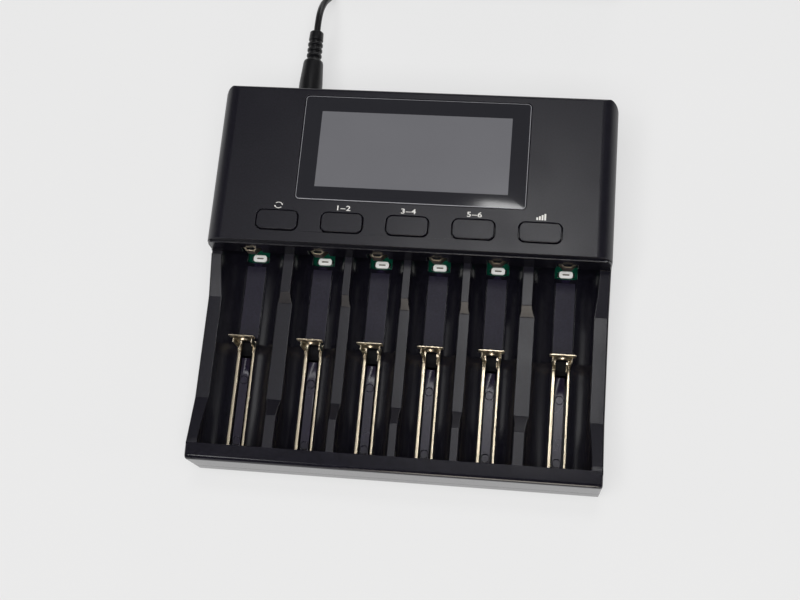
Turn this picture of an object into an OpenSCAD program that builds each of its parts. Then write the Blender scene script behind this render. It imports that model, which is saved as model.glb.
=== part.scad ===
/* [Bays] */
// Radius of the four inner troughs
inner_bay_r = 10.7; // [9.5:0.1:11.5]
// Radius of the two outer troughs
outer_bay_r = 13.4; // [12:0.1:14]
// Thickness of the dividers between inner troughs
inner_divider_t = 3.2; // [2.6:0.1:4]
// Thickness of the dividers beside the outer troughs
outer_divider_t = 4.2; // [3.4:0.1:5.5]
// Thickness of the side walls at the outer troughs
side_wall_t = 4.4; // [3.6:0.1:6]
// Length of the troughs from the front bar to the contact panel
bay_l = 81.3; // [78:0.1:90]
// Height of the bottom of the troughs
trough_z = 14.2; // [13.8:0.1:16]
// Height of the walls and dividers at both ends
wall_z = 26; // [24.5:0.5:28]
// Height of the walls and dividers in the finger notch
notch_z = 21.5; // [20:0.5:23]
// Thickness of the moulded skin under the troughs
skin_t = 2; // [1.6:0.1:2.2]

/* [Finger notch] */
// Distance from the contact panel to the notch floor of the dividers
notch_rear_l = 20.2; // [18:0.1:24]
// Length of the notch floor of the dividers
notch_l = 40.8; // [36:0.1:44]
// Run of the rear slope of the dividers
rear_slope_l = 3.9; // [2:0.1:6]
// Run of the front slope of the dividers
front_slope_l = 7.2; // [4:0.1:9]
// Distance from the contact panel to the notch floor of the side walls
side_notch_rear_l = 18.7; // [18:0.1:22]
// Length of the notch floor of the side walls
side_notch_l = 43.2; // [38:0.1:44]
// Run of the long rear slope of the side walls
side_rear_slope_l = 17.4; // [10:0.1:17.4]
// Run of the long front slope of the side walls
side_front_slope_l = 17.8; // [10:0.1:18]
// Width of the groove where the side walls meet the head
corner_groove_w = 1.3; // [0.8:0.1:2]

/* [Front bar] */
// Thickness of the front bar
bar_l = 6.7; // [6:0.1:9]
// Edge radius along the top of the front bar
bar_edge_r = 1.9; // [0.8:0.1:2.5]
// Plan radius of the front corners
front_corner_r = 5; // [3:0.5:6]

/* [Case shells] */
// Height of the feet below the base
foot_drop = 1.2; // [0.8:0.1:2]
// Thickness of the shell walls and the base
wall_t = 2.2; // [1.8:0.1:2.4]
// Height of the joint between base and tray
split_z = 9; // [8:0.5:9.2]
// Diameter of the rubber feet
foot_d = 10; // [8:0.5:12]
// Depth of the recess that holds a foot
foot_recess = 0.6; // [0.4:0.1:1]
// Shank diameter of the case screws
screw_d = 3; // [2.5:0.1:3.2]
// Head diameter of the case screws
screw_head_d = 5.6; // [5:0.1:6]
// Width of a cooling slot in the base
vent_w = 2; // [1.5:0.1:2.5]
// Length of a cooling slot
vent_l = 26; // [20:0.5:30]
// Number of cooling slots in a row
vent_count = 11; // [5:1:13]

/* [Head] */
// Length of the head cover
head_l = 69; // [64:0.5:76]
// Height of the top of the head
head_z = 39.7; // [38.5:0.1:42]
// Radius along the left and right top edges of the head
head_edge_r = 7; // [4:0.5:8]
// Radius along the rear top edge of the head
head_rear_r = 1.6; // [0.8:0.1:2.5]
// Plan radius of the rear corners
rear_corner_r = 4.5; // [3:0.5:6]
// Depth of the skirt above the contact panel
skirt_h = 2.8; // [2.2:0.1:4]
// Depth of the ledge on which the panel stands forward of the skirt
ledge_d = 1; // [0.6:0.1:1.6]
// Thickness of the contact panel
panel_t = 2; // [1.6:0.1:2.4]

/* [Display] */
// Width of the display window
window_w = 94.4; // [86:0.2:98]
// Length of the display window
window_l = 46.4; // [44.5:0.1:48]
// Thickness of the display window
window_t = 1.4; // [1:0.1:1.6]
// Distance from the window to the rear face of the head
window_rear_gap = 3.9; // [3.5:0.1:5]
// Width of the glass of the display
lcd_w = 83; // [78:0.5:85]
// Length of the glass of the display
lcd_l = 37; // [35:0.5:38]
// Thickness of the glass of the display
lcd_t = 1.8; // [1.4:0.1:2]
// Width of the rim that holds the glass of the display
frame_w = 2; // [1.5:0.1:3]

/* [Keys] */
// Number of keys
key_count = 5; // [3:1:5]
// Distance between neighbouring keys
key_pitch = 26.8; // [22:0.1:28]
// Width of a key
key_w = 16.8; // [14:0.1:18]
// Length of a key
key_l = 8.1; // [6:0.1:8.6]
// Corner radius of a key
key_r = 2.4; // [1.5:0.1:2.8]
// Gap around a key
key_gap = 0.4; // [0.3:0.05:0.5]
// Distance from the head's front edge to the middle of the keys
key_y = 9.1; // [8.6:0.1:9.6]
// Height of a key above the head
key_rise = 0.5; // [0.3:0.05:0.8]
// Travel of a key
key_travel = 0.5; // [0.3:0.05:0.6]
// Width of a key switch
switch_w = 6; // [5:0.5:7]
// Diameter of the stem of a key switch
switch_stem_d = 3.2; // [2.5:0.1:3.5]

/* [Contacts and light windows] */
// Width of a fixed contact
contact_w = 7.2; // [6:0.1:8]
// Height of a fixed contact
contact_h = 4.6; // [3.5:0.1:5]
// Thickness of the contact metal
sheet_t = 0.5; // [0.4:0.05:0.6]
// Distance that a fixed contact stands out of the panel
contact_proud = 1; // [0.6:0.1:1.4]
// Width of the light window in each trough
light_w = 9.4; // [8.5:0.1:10]
// Length of the light window in each trough
light_l = 6; // [5:0.1:6.2]
// Width of the raised strip along each trough
strip_w = 8.3; // [7.5:0.1:9]
// Height of the raised strip above the bottom of the trough
strip_h = 1.1; // [0.9:0.1:1.4]

/* [Sliding contacts] */
// Distance from the contact panel to the sliding contact at rest
slider_rest = 36.5; // [35.5:0.1:38]
// Travel of a sliding contact
slider_travel = 40; // [34:0.5:40]
// Width of the head of a sliding contact
slider_w = 10.6; // [9.5:0.1:11.5]
// Height of the top of a sliding contact
slider_z = 29; // [27.5:0.1:30]
// Height of the head of a sliding contact
slider_head_h = 3.6; // [3:0.1:4.2]
// Width of the left guide rail
left_rail_w = 1.35; // [1:0.05:1.5]
// Width of the right guide rail
right_rail_w = 1.05; // [0.9:0.05:1.2]
// Height of a guide rail above the bottom of the trough
rail_rise = 1.3; // [1.1:0.1:1.5]
// Width of the tongue between two rails
tongue_w = 3.5; // [3.2:0.1:3.6]
// Slot on the right of the tongue, through which the slider reaches its carriage
slot_w = 0.9; // [0.85:0.05:1]
// Narrow gap on the left of the tongue
tongue_gap = 0.5; // [0.3:0.05:0.6]
// Width of a leg of a sliding contact
leg_w = 0.8; // [0.7:0.1:1.3]
// Length of the bent side flanges of a sliding contact
flange_l = 1.8; // [1.2:0.1:2.4]
// Length of the carriage under the trough
carriage_l = 8; // [7:0.5:9]
// Width of the carriage
carriage_w = 8.6; // [8:0.1:9]
// Outer diameter of a return spring
spring_d = 3.6; // [3:0.1:4]
// Wire diameter of a return spring
spring_wire = 0.5; // [0.4:0.05:0.6]

/* [Boards and socket] */
// Thickness of the circuit boards
board_t = 1.6; // [1.2:0.1:1.6]
// Height of the light-emitting diodes
led_h = 0.9; // [0.7:0.05:0.9]
// Length of a light-emitting diode
led_l = 5.7; // [5:0.1:6]
// Width of a light-emitting diode
led_w = 3; // [2.8:0.1:3.4]
// Distance of the socket from the middle of the case
socket_x = 50.8; // [40:0.1:56]
// Width of the socket
socket_w = 9; // [8.5:0.1:10]
// Height of the socket
socket_h = 11; // [10.5:0.1:12]
// Length of the socket
socket_l = 14; // [12.5:0.5:15]

/* [Lead] */
// Diameter of the plug's grip
grip_d = 10.3; // [9.5:0.1:11]
// Length of the plug's grip
grip_l = 25.8; // [22:0.1:28]
// Outer diameter of the plug's metal sleeve
sleeve_d = 5.5; // [5.2:0.1:5.6]
// Length of the plug's metal sleeve
sleeve_l = 9.5; // [8:0.1:10]
// Diameter of the lead
lead_d = 3; // [2.5:0.1:3.5]
// Radius of the middle of the coil
coil_r = 18; // [16:0.5:22]
// Rings of lead in one layer of the coil
coil_rings = 5; // [4:1:5]
// Length of the wall adapter
adapter_l = 74; // [65:1:85]
// Width of the wall adapter
adapter_w = 44; // [38:1:50]
// Height of the wall adapter
adapter_h = 30; // [26:1:36]
// Length of the pins of the wall adapter
pin_l = 17; // [15:0.5:19]
// Width of a pin of the wall adapter
pin_w = 6.4; // [6:0.1:6.6]
// Distance between the middles of the pins
pin_pitch = 12.7; // [12:0.1:13.5]

/* [Hidden] */
$fn = 64;

// Clearance between pieces that slide on each other
slide_gap = 0.2;
// Clearance around pieces that are dropped in
drop_gap = 0.2;

// Middle of each trough and its radius, from left to right
bay_3_x = inner_divider_t / 2 + inner_bay_r;
bay_2_x = bay_3_x + 2 * inner_bay_r + inner_divider_t;
bay_1_x = bay_2_x + inner_bay_r + outer_divider_t + outer_bay_r;
bay_x = [-bay_1_x, -bay_2_x, -bay_3_x, bay_3_x, bay_2_x, bay_1_x];
bay_r = [outer_bay_r, inner_bay_r, inner_bay_r, inner_bay_r, inner_bay_r, outer_bay_r];

// Outline of the case
half_w = bay_1_x + outer_bay_r + side_wall_t;
case_l = bar_l + bay_l + ledge_d + head_l;
front_y = -case_l / 2;
bar_y = front_y + bar_l;
panel_y = bar_y + bay_l;
head_y = panel_y + ledge_d;
rear_y = case_l / 2;
inner_w = half_w - wall_t;
bulkhead_t = 2;
light_rear_y = panel_y + 5.2;
light_y = light_rear_y - light_l / 2;
bulkhead_y = light_rear_y + 0.3;

// Finger notch in the dividers and in the side walls
divider_rear_y = panel_y - notch_rear_l;
divider_front_y = divider_rear_y - notch_l;
side_rear_y = panel_y - side_notch_rear_l;
side_front_y = side_rear_y - side_notch_l;

// Heights of the layers under and over the troughs
base_z = foot_drop;
base_floor_z = base_z + wall_t;
floor_under_z = trough_z - skin_t;
board_top_z = floor_under_z - led_h - 0.3;
board_z = board_top_z - board_t;
strip_z = trough_z + strip_h;
rail_z = trough_z + rail_rise;
rail_seat_z = trough_z - 1;
tongue_z = trough_z - 0.6;
cavity_z = notch_z - skin_t;
roof_z = head_z - wall_t;
panel_z = head_z - skirt_h;
contact_z = wall_z + 0.4;

// Sliding contact
slider_y = panel_y - slider_rest;
plate_y = slider_y - sheet_t;
web_l = 3.2;
rail_in = (tongue_w + slot_w + tongue_gap) / 2;
left_rail_out = rail_in + left_rail_w;
right_rail_out = rail_in + right_rail_w;
tongue_left = -rail_in + tongue_gap;
tongue_right = rail_in - slot_w;
tongue_x = (tongue_left + tongue_right) / 2;
rail_rear_y = slider_y + 1;
rail_front_y = bar_y - 3.2;
web_x = tongue_right + (slot_w - sheet_t) / 2;
leg_z = rail_z + 0.35;
carriage_top_z = floor_under_z - 0.4;
carriage_z = base_floor_z + 2;
carriage_y = plate_y - web_l - 1;
hole_rear_y = slider_y + 1.6;
hole_front_y = plate_y - web_l - 2.3;
strip_front_y = hole_rear_y + 0.6;
web_z = carriage_z + 2.4;
spring_z = (carriage_z + carriage_top_z) / 2;
spring_rear_y = panel_y - 12;
spring_front_y = carriage_y + carriage_l;
mark_r = tongue_w / 2 - 0.05;
rear_mark_l = 15.4;
front_mark_l = 41.1;
neck_l = 0.8;

// Display, keys and control board
lcd_top_z = head_z - window_t - 0.2;
control_top_z = roof_z - 3.6;
control_z = control_top_z - board_t;
window_y = rear_y - window_rear_gap - window_l / 2;
key_mid_y = head_y + key_y;
key_flange_z = roof_z - 1.1 - drop_gap;
key_switch_z = key_flange_z - 0.1 - key_travel - drop_gap;

// Socket and plug
socket_y = rear_y - wall_t;
socket_axis_z = board_top_z + 6.4;
plug_hole_r = grip_d / 2 + 0.45;
grip_y = socket_y + 0.1;

// Coil beside the lead's way down from the plug
lead_start = [-socket_x, grip_y + grip_l + 13.9, socket_axis_z];
coil_in = coil_r - lead_d * coil_rings / 2;
coil_out = coil_r + lead_d * coil_rings / 2;
coil_x = lead_start.x + 16.8;
coil_y = lead_start.y + 35 + coil_out;
low_layer = lead_d / 2;
high_layer = 3 * lead_d / 2;

// Route from the plug down to the lower layer of the coil
lead_route = [
    for (p = [
        [0, 0, 1], [0, 5.5, 0.985], [0.1, 11, 0.91], [0.4, 16, 0.75], [0.9, 20.3, 0.535], [1.6, 23.9, 0.32],
        [2.6, 27.5, 0.145], [4.3, 31.1, 0.04], [7, 34.1, 0.006], [10.6, 35.9, 0],
        [14.8, 36.5, 0], [19.8, 36.7, 0]
    ]) [lead_start.x + p.x, lead_start.y + p.y, low_layer + (socket_axis_z - low_layer) * p.z]
];

// Route from the upper layer of the coil to the strain relief of the adapter
relief_l = 8;
adapter_away = 44;
adapter_x = coil_x + adapter_away;
adapter_y = coil_y - 5;
adapter_route = [
    for (p = [
        [-47, -18.8, 0], [-41, -19, 0], [-35, -19, 0], [-29, -17.6, 0], [-24, -14.4, 0.086],
        [-20.6, -10, 0.295], [-18, -5.2, 0.562], [-15.4, -1.6, 0.81], [-11.8, -0.1, 0.971], [-8, 0, 1]
    ]) [
        adapter_x + p.x, adapter_y + p.y + (25.5 - coil_out) * (p.z < 1 ? 1 - p.z : 0),
        high_layer + (adapter_h / 2 - high_layer) * p.z
    ]
];

// Colours
case_black = "#2b2a30";
window_black = "#26262c";
glass_grey = "#6c6c6f";
metal = "#d8d2c4";
board_green = "#12614a";
white = "#eceee8";

function floor_half(r, z) = z > trough_z + r ? r : sqrt(pow(r, 2) - pow(trough_z + r - z, 2));

// A block between two corners
module block(low, high) {
    translate(low) cube(high - low);
}

// Extrudes a section drawn in x and z along the case
module along_y(y0, y1) {
    translate([0, y1, 0]) rotate([90, 0, 0]) linear_extrude(y1 - y0) children();
}

// Extrudes a section drawn in y and z across the case
module along_x(x0, x1) {
    translate([x0, 0, 0]) rotate([90, 0, 90]) linear_extrude(x1 - x0) children();
}

// Extrudes a plan upwards
module along_z(z0, z1) {
    translate([0, 0, z0]) linear_extrude(z1 - z0) children();
}

// A rectangle with rounded corners
module round_rect(w, l, r) {
    square([w - 2 * r, l], center = true);
    square([w, l - 2 * r], center = true);
    for (x = [-1, 1], y = [-1, 1])
        translate([x * (w / 2 - r), y * (l / 2 - r)]) circle(r);
}

// A rectangle from y0 to y1 with one radius at its low corners and one at its high corners
module two_radius_rect(w, y0, y1, r0, r1) {
    translate([-w, y0 + r0]) square([2 * w, y1 - r1 - y0 - r0]);
    translate([-w + r0, y0]) square([2 * (w - r0), r0 + 0.01]);
    translate([-w + r1, y1 - r1 - 0.01]) square([2 * (w - r1), r1 + 0.01]);
    for (s = [-1, 1]) {
        translate([s * (w - r0), y0 + r0]) circle(r0);
        translate([s * (w - r1), y1 - r1]) circle(r1);
    }
}

// Plan of the case, drawn in from its outline by the inset
module case_plan(inset) {
    two_radius_rect(
        half_w - inset, front_y + inset, rear_y - inset, front_corner_r - inset, rear_corner_r - inset
    );
}

// Section of the head from wall to wall, drawn in by the inset
module head_section(inset) {
    w = half_w - inset;
    r = head_edge_r - inset;
    top = head_z - inset;
    translate([-w, wall_z - 1]) square([2 * w, top - r - wall_z + 1]);
    translate([-w + r, wall_z - 1]) square([2 * (w - r), top - wall_z + 1]);
    for (s = [-1, 1]) translate([s * (w - r), top - r]) circle(r);
}

// Section of the head from front to rear, drawn in by the inset
module head_side(inset) {
    r = max(head_rear_r - inset, 0.2);
    top = head_z - inset;
    end = rear_y - inset;
    translate([head_y, wall_z - 1]) square([end - head_y, top - r - wall_z + 1]);
    translate([head_y, wall_z - 1]) square([end - r - head_y, top - wall_z + 1]);
    translate([end - r, top - r]) circle(r);
}

module head_block(inset) {
    intersection() {
        along_y(head_y, rear_y) head_section(inset);
        along_x(-half_w, half_w) head_side(inset);
        along_z(wall_z, head_z) case_plan(inset);
    }
}

// Places of the case screws
screw_x = inner_w - 3.6;
screw_spots = [
    for (x = [-1, 1], y = [front_y + 8.5, panel_y - 6, rear_y - 8.5]) [x * screw_x, y]
];
boss_d = 7.4;
screw_tip_z = split_z + 5.5;
boss_top_z = screw_tip_z + 1.5;
screw_seat_z = base_z + 2.4;
foot_spots = [for (x = [-1, 1], y = [front_y + 20, rear_y - 20]) [x * (half_w - 14), y]];
board_post_spots = [for (x = [-1, 1], y = [light_y + 12, rear_y - 12]) [x * 58, y]];

module base_cover() {
    color(case_black) difference() {
        union() {
            difference() {
                along_z(base_z, split_z) case_plan(0);
                along_z(base_floor_z, split_z + 1) case_plan(wall_t);
            }
            for (p = screw_spots) translate([p.x, p.y, base_z]) cylinder(h = split_z - base_z, d = boss_d);
            for (p = board_post_spots) translate([p.x, p.y, base_z]) cylinder(h = board_z - base_z, d = 6);
        }
        for (p = screw_spots) translate([p.x, p.y, base_z - 1]) {
            cylinder(h = split_z, d = screw_d + 0.4);
            cylinder(h = screw_seat_z - base_z + 1, d = screw_head_d + 0.6);
        }
        for (p = foot_spots) translate([p.x, p.y, base_z - 1]) cylinder(h = 1 + foot_recess, d = foot_d + 0.2);
        for (s = [-1, 1], i = [0 : vent_count - 1])
            translate([s * 30 + (i - (vent_count - 1) / 2) * 2 * vent_w, light_y + 30, base_z - 1])
                linear_extrude(wall_t + 2) round_rect(vent_w, vent_l, vent_w / 2 - 0.2);
    }
}

// One trough, from the bar to the bulkhead, drawn out by the skin
module trough(i, skin, y0, y1) {
    r = bay_r[i] + skin;
    along_y(y0, y1) {
        translate([bay_x[i], trough_z + bay_r[i]]) circle(r, $fn = 96);
        if (skin == 0)
            translate([bay_x[i] - r, trough_z + bay_r[i]]) square([2 * r, head_z]);
    }
}

// The finger notch between two side positions
module notch(x0, x1, rear, front, rear_run, front_run) {
    along_x(x0, x1) polygon([
        [rear + rear_run, wall_z + 1], [rear + rear_run, wall_z], [rear, notch_z],
        [front, notch_z], [front - front_run, wall_z], [front - front_run, wall_z + 1]
    ]);
}

// Block of the tray with its rounded front edge
module tray_block() {
    intersection() {
        along_z(split_z, wall_z) case_plan(0);
        along_x(-half_w, half_w) {
            translate([front_y, split_z]) square([case_l, wall_z - bar_edge_r - split_z]);
            translate([front_y + bar_edge_r, split_z]) square([case_l - bar_edge_r, wall_z - split_z]);
            translate([front_y + bar_edge_r, wall_z - bar_edge_r]) circle(bar_edge_r);
        }
    }
}

// Space under the troughs and behind the bulkhead
module tray_hollow() {
    block([-inner_w, front_y + wall_t, split_z - 1], [inner_w, bulkhead_y + 1, floor_under_z]);
    difference() {
        block([-inner_w, bar_y + skin_t, split_z], [inner_w, bulkhead_y - 1, cavity_z]);
        for (i = [0 : 5]) trough(i, skin_t, bar_y, bulkhead_y);
        for (x = bay_x)
            block([x - strip_w / 2, bar_y, floor_under_z], [x + strip_w / 2, bulkhead_y, trough_z + 1]);
    }
    intersection() {
        along_z(split_z - 1, wall_z + 1) case_plan(wall_t);
        block([-half_w, bulkhead_y + bulkhead_t, split_z - 1], [half_w, rear_y, wall_z + 1]);
    }
    block([-inner_w, bulkhead_y, split_z - 1], [inner_w, bulkhead_y + bulkhead_t + 1, floor_under_z]);
}

// Openings in the floor of one trough for the lamp, the rails and the slider
module floor_cuts(x) {
    block(
        [x - light_w / 2, light_y - light_l / 2, floor_under_z - 1],
        [x + light_w / 2, light_y + light_l / 2, wall_z]
    );
    block([x - rail_in, hole_front_y, floor_under_z - 1], [x + rail_in, hole_rear_y, strip_z + 1]);
    block([x - rail_in, bar_y, tongue_z], [x + rail_in, hole_rear_y, trough_z + 1]);
    block([x - rail_in, bar_y, floor_under_z - 1], [x + tongue_left, hole_rear_y, trough_z + 1]);
    block([x + tongue_right, bar_y, floor_under_z - 1], [x + rail_in, hole_rear_y, trough_z + 1]);
    block([x - left_rail_out, rail_front_y, rail_seat_z], [x - rail_in, rail_rear_y, rail_z + 0.1]);
    block([x + rail_in, rail_front_y, rail_seat_z], [x + right_rail_out, rail_rear_y, rail_z + 0.1]);
    for (y = [slider_y - rear_mark_l, slider_y - front_mark_l])
        translate([x + tongue_x, y, tongue_z - 0.25]) cylinder(h = 1, r = mark_r);
}

// Channel under one trough that guides the carriage, and the post that holds its spring
module carriage_guide(x) {
    for (s = [-1, 1]) {
        wall = x + s * (carriage_w / 2 + slide_gap + 0.6);
        block(
            [wall - 0.6, front_y + wall_t + 0.3, carriage_z],
            [wall + 0.6, spring_rear_y + 2, floor_under_z + 1.2]
        );
    }
    block([x - 1.6, spring_rear_y, carriage_z], [x + 1.6, spring_rear_y + 2, floor_under_z + 0.4]);
}

module bay_tray() {
    color(case_black) difference() {
        union() {
            difference() {
                tray_block();
                for (i = [0 : 5]) trough(i, 0, bar_y, bulkhead_y);
                notch(-bay_1_x, bay_1_x, divider_rear_y, divider_front_y, rear_slope_l, front_slope_l);
                for (s = [-1, 1])
                    notch(
                        min(s * bay_1_x, s * (half_w + 1)), max(s * bay_1_x, s * (half_w + 1)),
                        side_rear_y, side_front_y, side_rear_slope_l, side_front_slope_l
                    );
                tray_hollow();
            }
            for (x = bay_x) {
                block(
                    [x - strip_w / 2, strip_front_y, floor_under_z],
                    [x + strip_w / 2, light_y - light_l / 2 - 1.9, strip_z]
                );
                carriage_guide(x);
            }
            for (p = screw_spots)
                translate([p.x, p.y, split_z]) cylinder(h = boss_top_z - split_z, d = boss_d);
        }
        for (x = bay_x) floor_cuts(x);
        for (s = [-1, 1])
            block(
                [s * half_w - 5, panel_y - corner_groove_w, wall_z - 1.2],
                [s * half_w + 5, panel_y, wall_z + 1]
            );
        for (p = screw_spots)
            translate([p.x, p.y, split_z - 1]) cylinder(h = screw_tip_z - split_z + 1.2, d = screw_d);
        translate([-socket_x, rear_y + 1, socket_axis_z]) rotate([90, 0, 0])
            cylinder(h = wall_t + 2, r = plug_hole_r);
    }
}

post_spots = [for (x = [-1, 1], y = [head_y + 9, rear_y - 9]) [x * (half_w - 12), y]];

module head_cover() {
    color(case_black) difference() {
        union() {
            difference() {
                head_block(0);
                intersection() {
                    head_block(wall_t);
                    block([-half_w, head_y + wall_t, wall_z - 1], [half_w, rear_y, head_z]);
                }
            }
            for (p = post_spots)
                translate([p.x, p.y, control_top_z]) cylinder(h = roof_z - control_top_z + 0.5, d = 5);
        }
        block([-inner_w, head_y - 1, wall_z - 1], [inner_w, head_y + wall_t + 1, panel_z]);
        block([-inner_w, head_y + wall_t, wall_z - 1], [inner_w, rear_y - wall_t, wall_z + 0.01]);
        translate([0, window_y, head_z - window_t])
            linear_extrude(window_t + 1) round_rect(window_w + 2 * drop_gap, window_l + 2 * drop_gap, 1.8);
        translate([0, window_y, roof_z - 1])
            linear_extrude(wall_t + 2) round_rect(lcd_w + 2 * drop_gap, lcd_l + 2 * drop_gap, 0.8);
        for (i = [0 : key_count - 1]) translate([key_x(i), key_mid_y, roof_z - 1])
            linear_extrude(wall_t + 2) round_rect(key_w + 2 * key_gap, key_l + 2 * key_gap, key_r + key_gap);
    }
}

function key_x(i) = (i - (key_count - 1) / 2) * key_pitch;

module contact_panel() {
    color(case_black) difference() {
        union() {
            intersection() {
                along_y(panel_y, head_y) head_section(0.4);
                block([-half_w, panel_y, wall_z], [half_w, head_y, panel_z]);
            }
            block(
                [-inner_w + drop_gap, panel_y + 0.2, wall_z],
                [inner_w - drop_gap, panel_y + panel_t, panel_z - head_edge_r]
            );
            intersection() {
                along_y(panel_y + 0.2, panel_y + panel_t) head_section(wall_t + drop_gap);
                block([-half_w, panel_y, wall_z], [half_w, head_y + panel_t, panel_z]);
            }
        }
        for (x = bay_x)
            block(
                [x - contact_w / 2 - 0.7, panel_y - 1, wall_z - 1],
                [x + contact_w / 2 + 0.7, panel_y + panel_t + 1, contact_z + contact_h + 0.5]
            );
    }
}

module display_window() {
    color(window_black) translate([0, window_y, head_z - window_t])
        linear_extrude(window_t) round_rect(window_w, window_l, 1.6);
}

module lcd_panel() {
    color(glass_grey) translate([0, window_y, lcd_top_z - lcd_t])
        linear_extrude(lcd_t) square([lcd_w, lcd_l], center = true);
}

module lcd_frame() {
    color(white) translate([0, window_y, control_top_z]) difference() {
        linear_extrude(lcd_top_z - lcd_t - control_top_z) square([lcd_w, lcd_l], center = true);
        translate([0, 0, 0.8]) linear_extrude(lcd_top_z)
            square([lcd_w - 2 * frame_w, lcd_l - 2 * frame_w], center = true);
    }
}

module control_board() {
    color(board_green) difference() {
        along_z(control_z, control_top_z) intersection() {
            case_plan(wall_t + 2);
            translate([-half_w, bulkhead_y - 1.5]) square([2 * half_w, rear_y]);
        }
        for (p = post_spots) translate([p.x, p.y, control_z - 1]) cylinder(h = 4, d = 2.4);
    }
}

charge_w = bay_1_x + light_w / 2 + 1;
charge_front_y = light_y - light_l / 2 - 3;

module charge_board() {
    color(board_green) difference() {
        block([-charge_w, charge_front_y, board_z], [charge_w, socket_y - 0.4, board_top_z]);
        for (p = board_post_spots) translate([p.x, p.y, board_z - 1]) cylinder(h = 4, d = 2.4);
    }
}

module bay_light(i) {
    color(white) translate([bay_x[i], light_y - 0.2, board_top_z]) difference() {
        linear_extrude(led_h) square([led_l, led_w], center = true);
        translate([0, 0, led_h - 0.15]) linear_extrude(1) round_rect(led_l - 1, led_w - 0.8, 0.8);
    }
}

// Outline of a fixed contact seen from above, drawn in by the metal
module contact_outline(inset) {
    w = contact_w / 2 - inset;
    front = panel_y - contact_proud + inset;
    polygon([
        [-w, control_board_front + 2 + inset], [-w, panel_y + 1 + inset * 0.4], [-w + 1.9, front],
        [w - 1.9, front], [w, panel_y + 1 + inset * 0.4], [w, control_board_front + 2 + inset]
    ]);
}

control_board_front = bulkhead_y - 1.5;

module fixed_contact(i) {
    color(metal) translate([bay_x[i], 0, 0]) {
        along_z(contact_z, contact_z + contact_h) difference() {
            contact_outline(0);
            contact_outline(sheet_t);
        }
        for (s = [-1, 1])
            translate([s * (contact_w - sheet_t) / 2, control_board_front + 1, contact_z + contact_h - 0.01])
                translate([-sheet_t / 2, -1, 0]) cube([sheet_t, 2, control_z - contact_z - contact_h + 0.01]);
    }
}

// Sheet metal of a sliding contact: a T with two legs, feet on the rails and a web that reaches the carriage
module sliding_contact(i) {
    bow_z = slider_z - slider_head_h - 0.6;
    shoulder_z = slider_z - slider_head_h;
    shoulder_half_w = left_rail_out + 0.3;
    color(metal) translate([bay_x[i], 0, 0]) {
        difference() {
            union() {
                along_y(plate_y, slider_y) {
                    translate([-slider_w / 2 + 0.6, shoulder_z]) square([slider_w - 1.2, slider_head_h]);
                    translate([-slider_w / 2, shoulder_z + 0.6]) square([slider_w, slider_head_h - 1.2]);
                    for (s = [-1, 1], z = [shoulder_z + 0.6, slider_z - 0.6])
                        translate([s * (slider_w / 2 - 0.6), z]) circle(0.6);
                    polygon([
                        [-left_rail_out, leg_z], [right_rail_out, leg_z], [shoulder_half_w, shoulder_z],
                        [shoulder_half_w, slider_z - 1], [-shoulder_half_w, slider_z - 1],
                        [-shoulder_half_w, shoulder_z]
                    ]);
                }
                translate([0, plate_y - 1.6, bow_z]) intersection() {
                    sphere(r = 3.4);
                    translate([-5, 1.6, -5]) cube([10, 5, 10]);
                }
            }
            translate([0, plate_y - 1.6 - sheet_t, bow_z]) sphere(r = 3.4);
            along_y(plate_y - 1, slider_y + 1) {
                translate([leg_w - left_rail_out, leg_z - 1])
                    square([left_rail_out + right_rail_out - 2 * leg_w, bow_z - 4.4 - leg_z + 1]);
            }
        }
        along_y(plate_y - flange_l, plate_y + 0.01) for (side = [[-1, left_rail_out], [1, right_rail_out]])
            polygon([
                [side[0] * side[1], leg_z], [side[0] * shoulder_half_w, shoulder_z],
                [side[0] * (shoulder_half_w - sheet_t), shoulder_z], [side[0] * (side[1] - sheet_t), leg_z]
            ]);
        block([-left_rail_out, plate_y - web_l, leg_z], [-rail_in, plate_y + 0.01, leg_z + sheet_t]);
        block([rail_in, plate_y - web_l, leg_z], [right_rail_out, plate_y + 0.01, leg_z + sheet_t]);
        block([web_x, plate_y - neck_l, leg_z], [rail_in + 0.01, plate_y + 0.01, leg_z + sheet_t]);
        block([web_x, plate_y - neck_l, tongue_z], [web_x + sheet_t, slider_y, leg_z + sheet_t]);
        block([web_x, plate_y - web_l, web_z], [web_x + sheet_t, slider_y, tongue_z + 0.01]);
    }
}

module carriage(i) {
    color(case_black) translate([bay_x[i], 0, 0]) difference() {
        block(
            [-carriage_w / 2, carriage_y, carriage_z],
            [carriage_w / 2, carriage_y + carriage_l, carriage_top_z]
        );
        block([web_x, plate_y - web_l, web_z], [web_x + sheet_t, slider_y, carriage_top_z + 1]);
    }
}

// A helix along y as one closed tube
spring_turns = 12;
spring_steps = 9;
spring_sides = 5;
helix_r = (spring_d - spring_wire) / 2;
helix_l = spring_rear_y - spring_front_y - spring_wire;

function helix_ring(k) =
    let (
        a = 360 * k / spring_steps,
        t = k / (spring_turns * spring_steps),
        middle = [helix_r * cos(a), spring_front_y + spring_wire / 2 + helix_l * t, helix_r * sin(a)]
    ) [
        for (j = [0 : spring_sides - 1])
            let (b = 360 * j / spring_sides)
                middle + spring_wire / 2 * (cos(b) * [cos(a), 0, sin(a)] + sin(b) * [0, 1, 0])
    ];

// Faces of a closed tube whose rings have the given number of sides
function tube_faces(rings, sides) = concat(
    [[for (j = [sides - 1 : -1 : 0]) j]],
    [for (k = [0 : rings - 2], j = [0 : sides - 1])
        [k * sides + j, k * sides + (j + 1) % sides, (k + 1) * sides + (j + 1) % sides]],
    [for (k = [0 : rings - 2], j = [0 : sides - 1])
        [k * sides + j, (k + 1) * sides + (j + 1) % sides, (k + 1) * sides + j]],
    [[for (j = [0 : sides - 1]) (rings - 1) * sides + j]]
);

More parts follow.
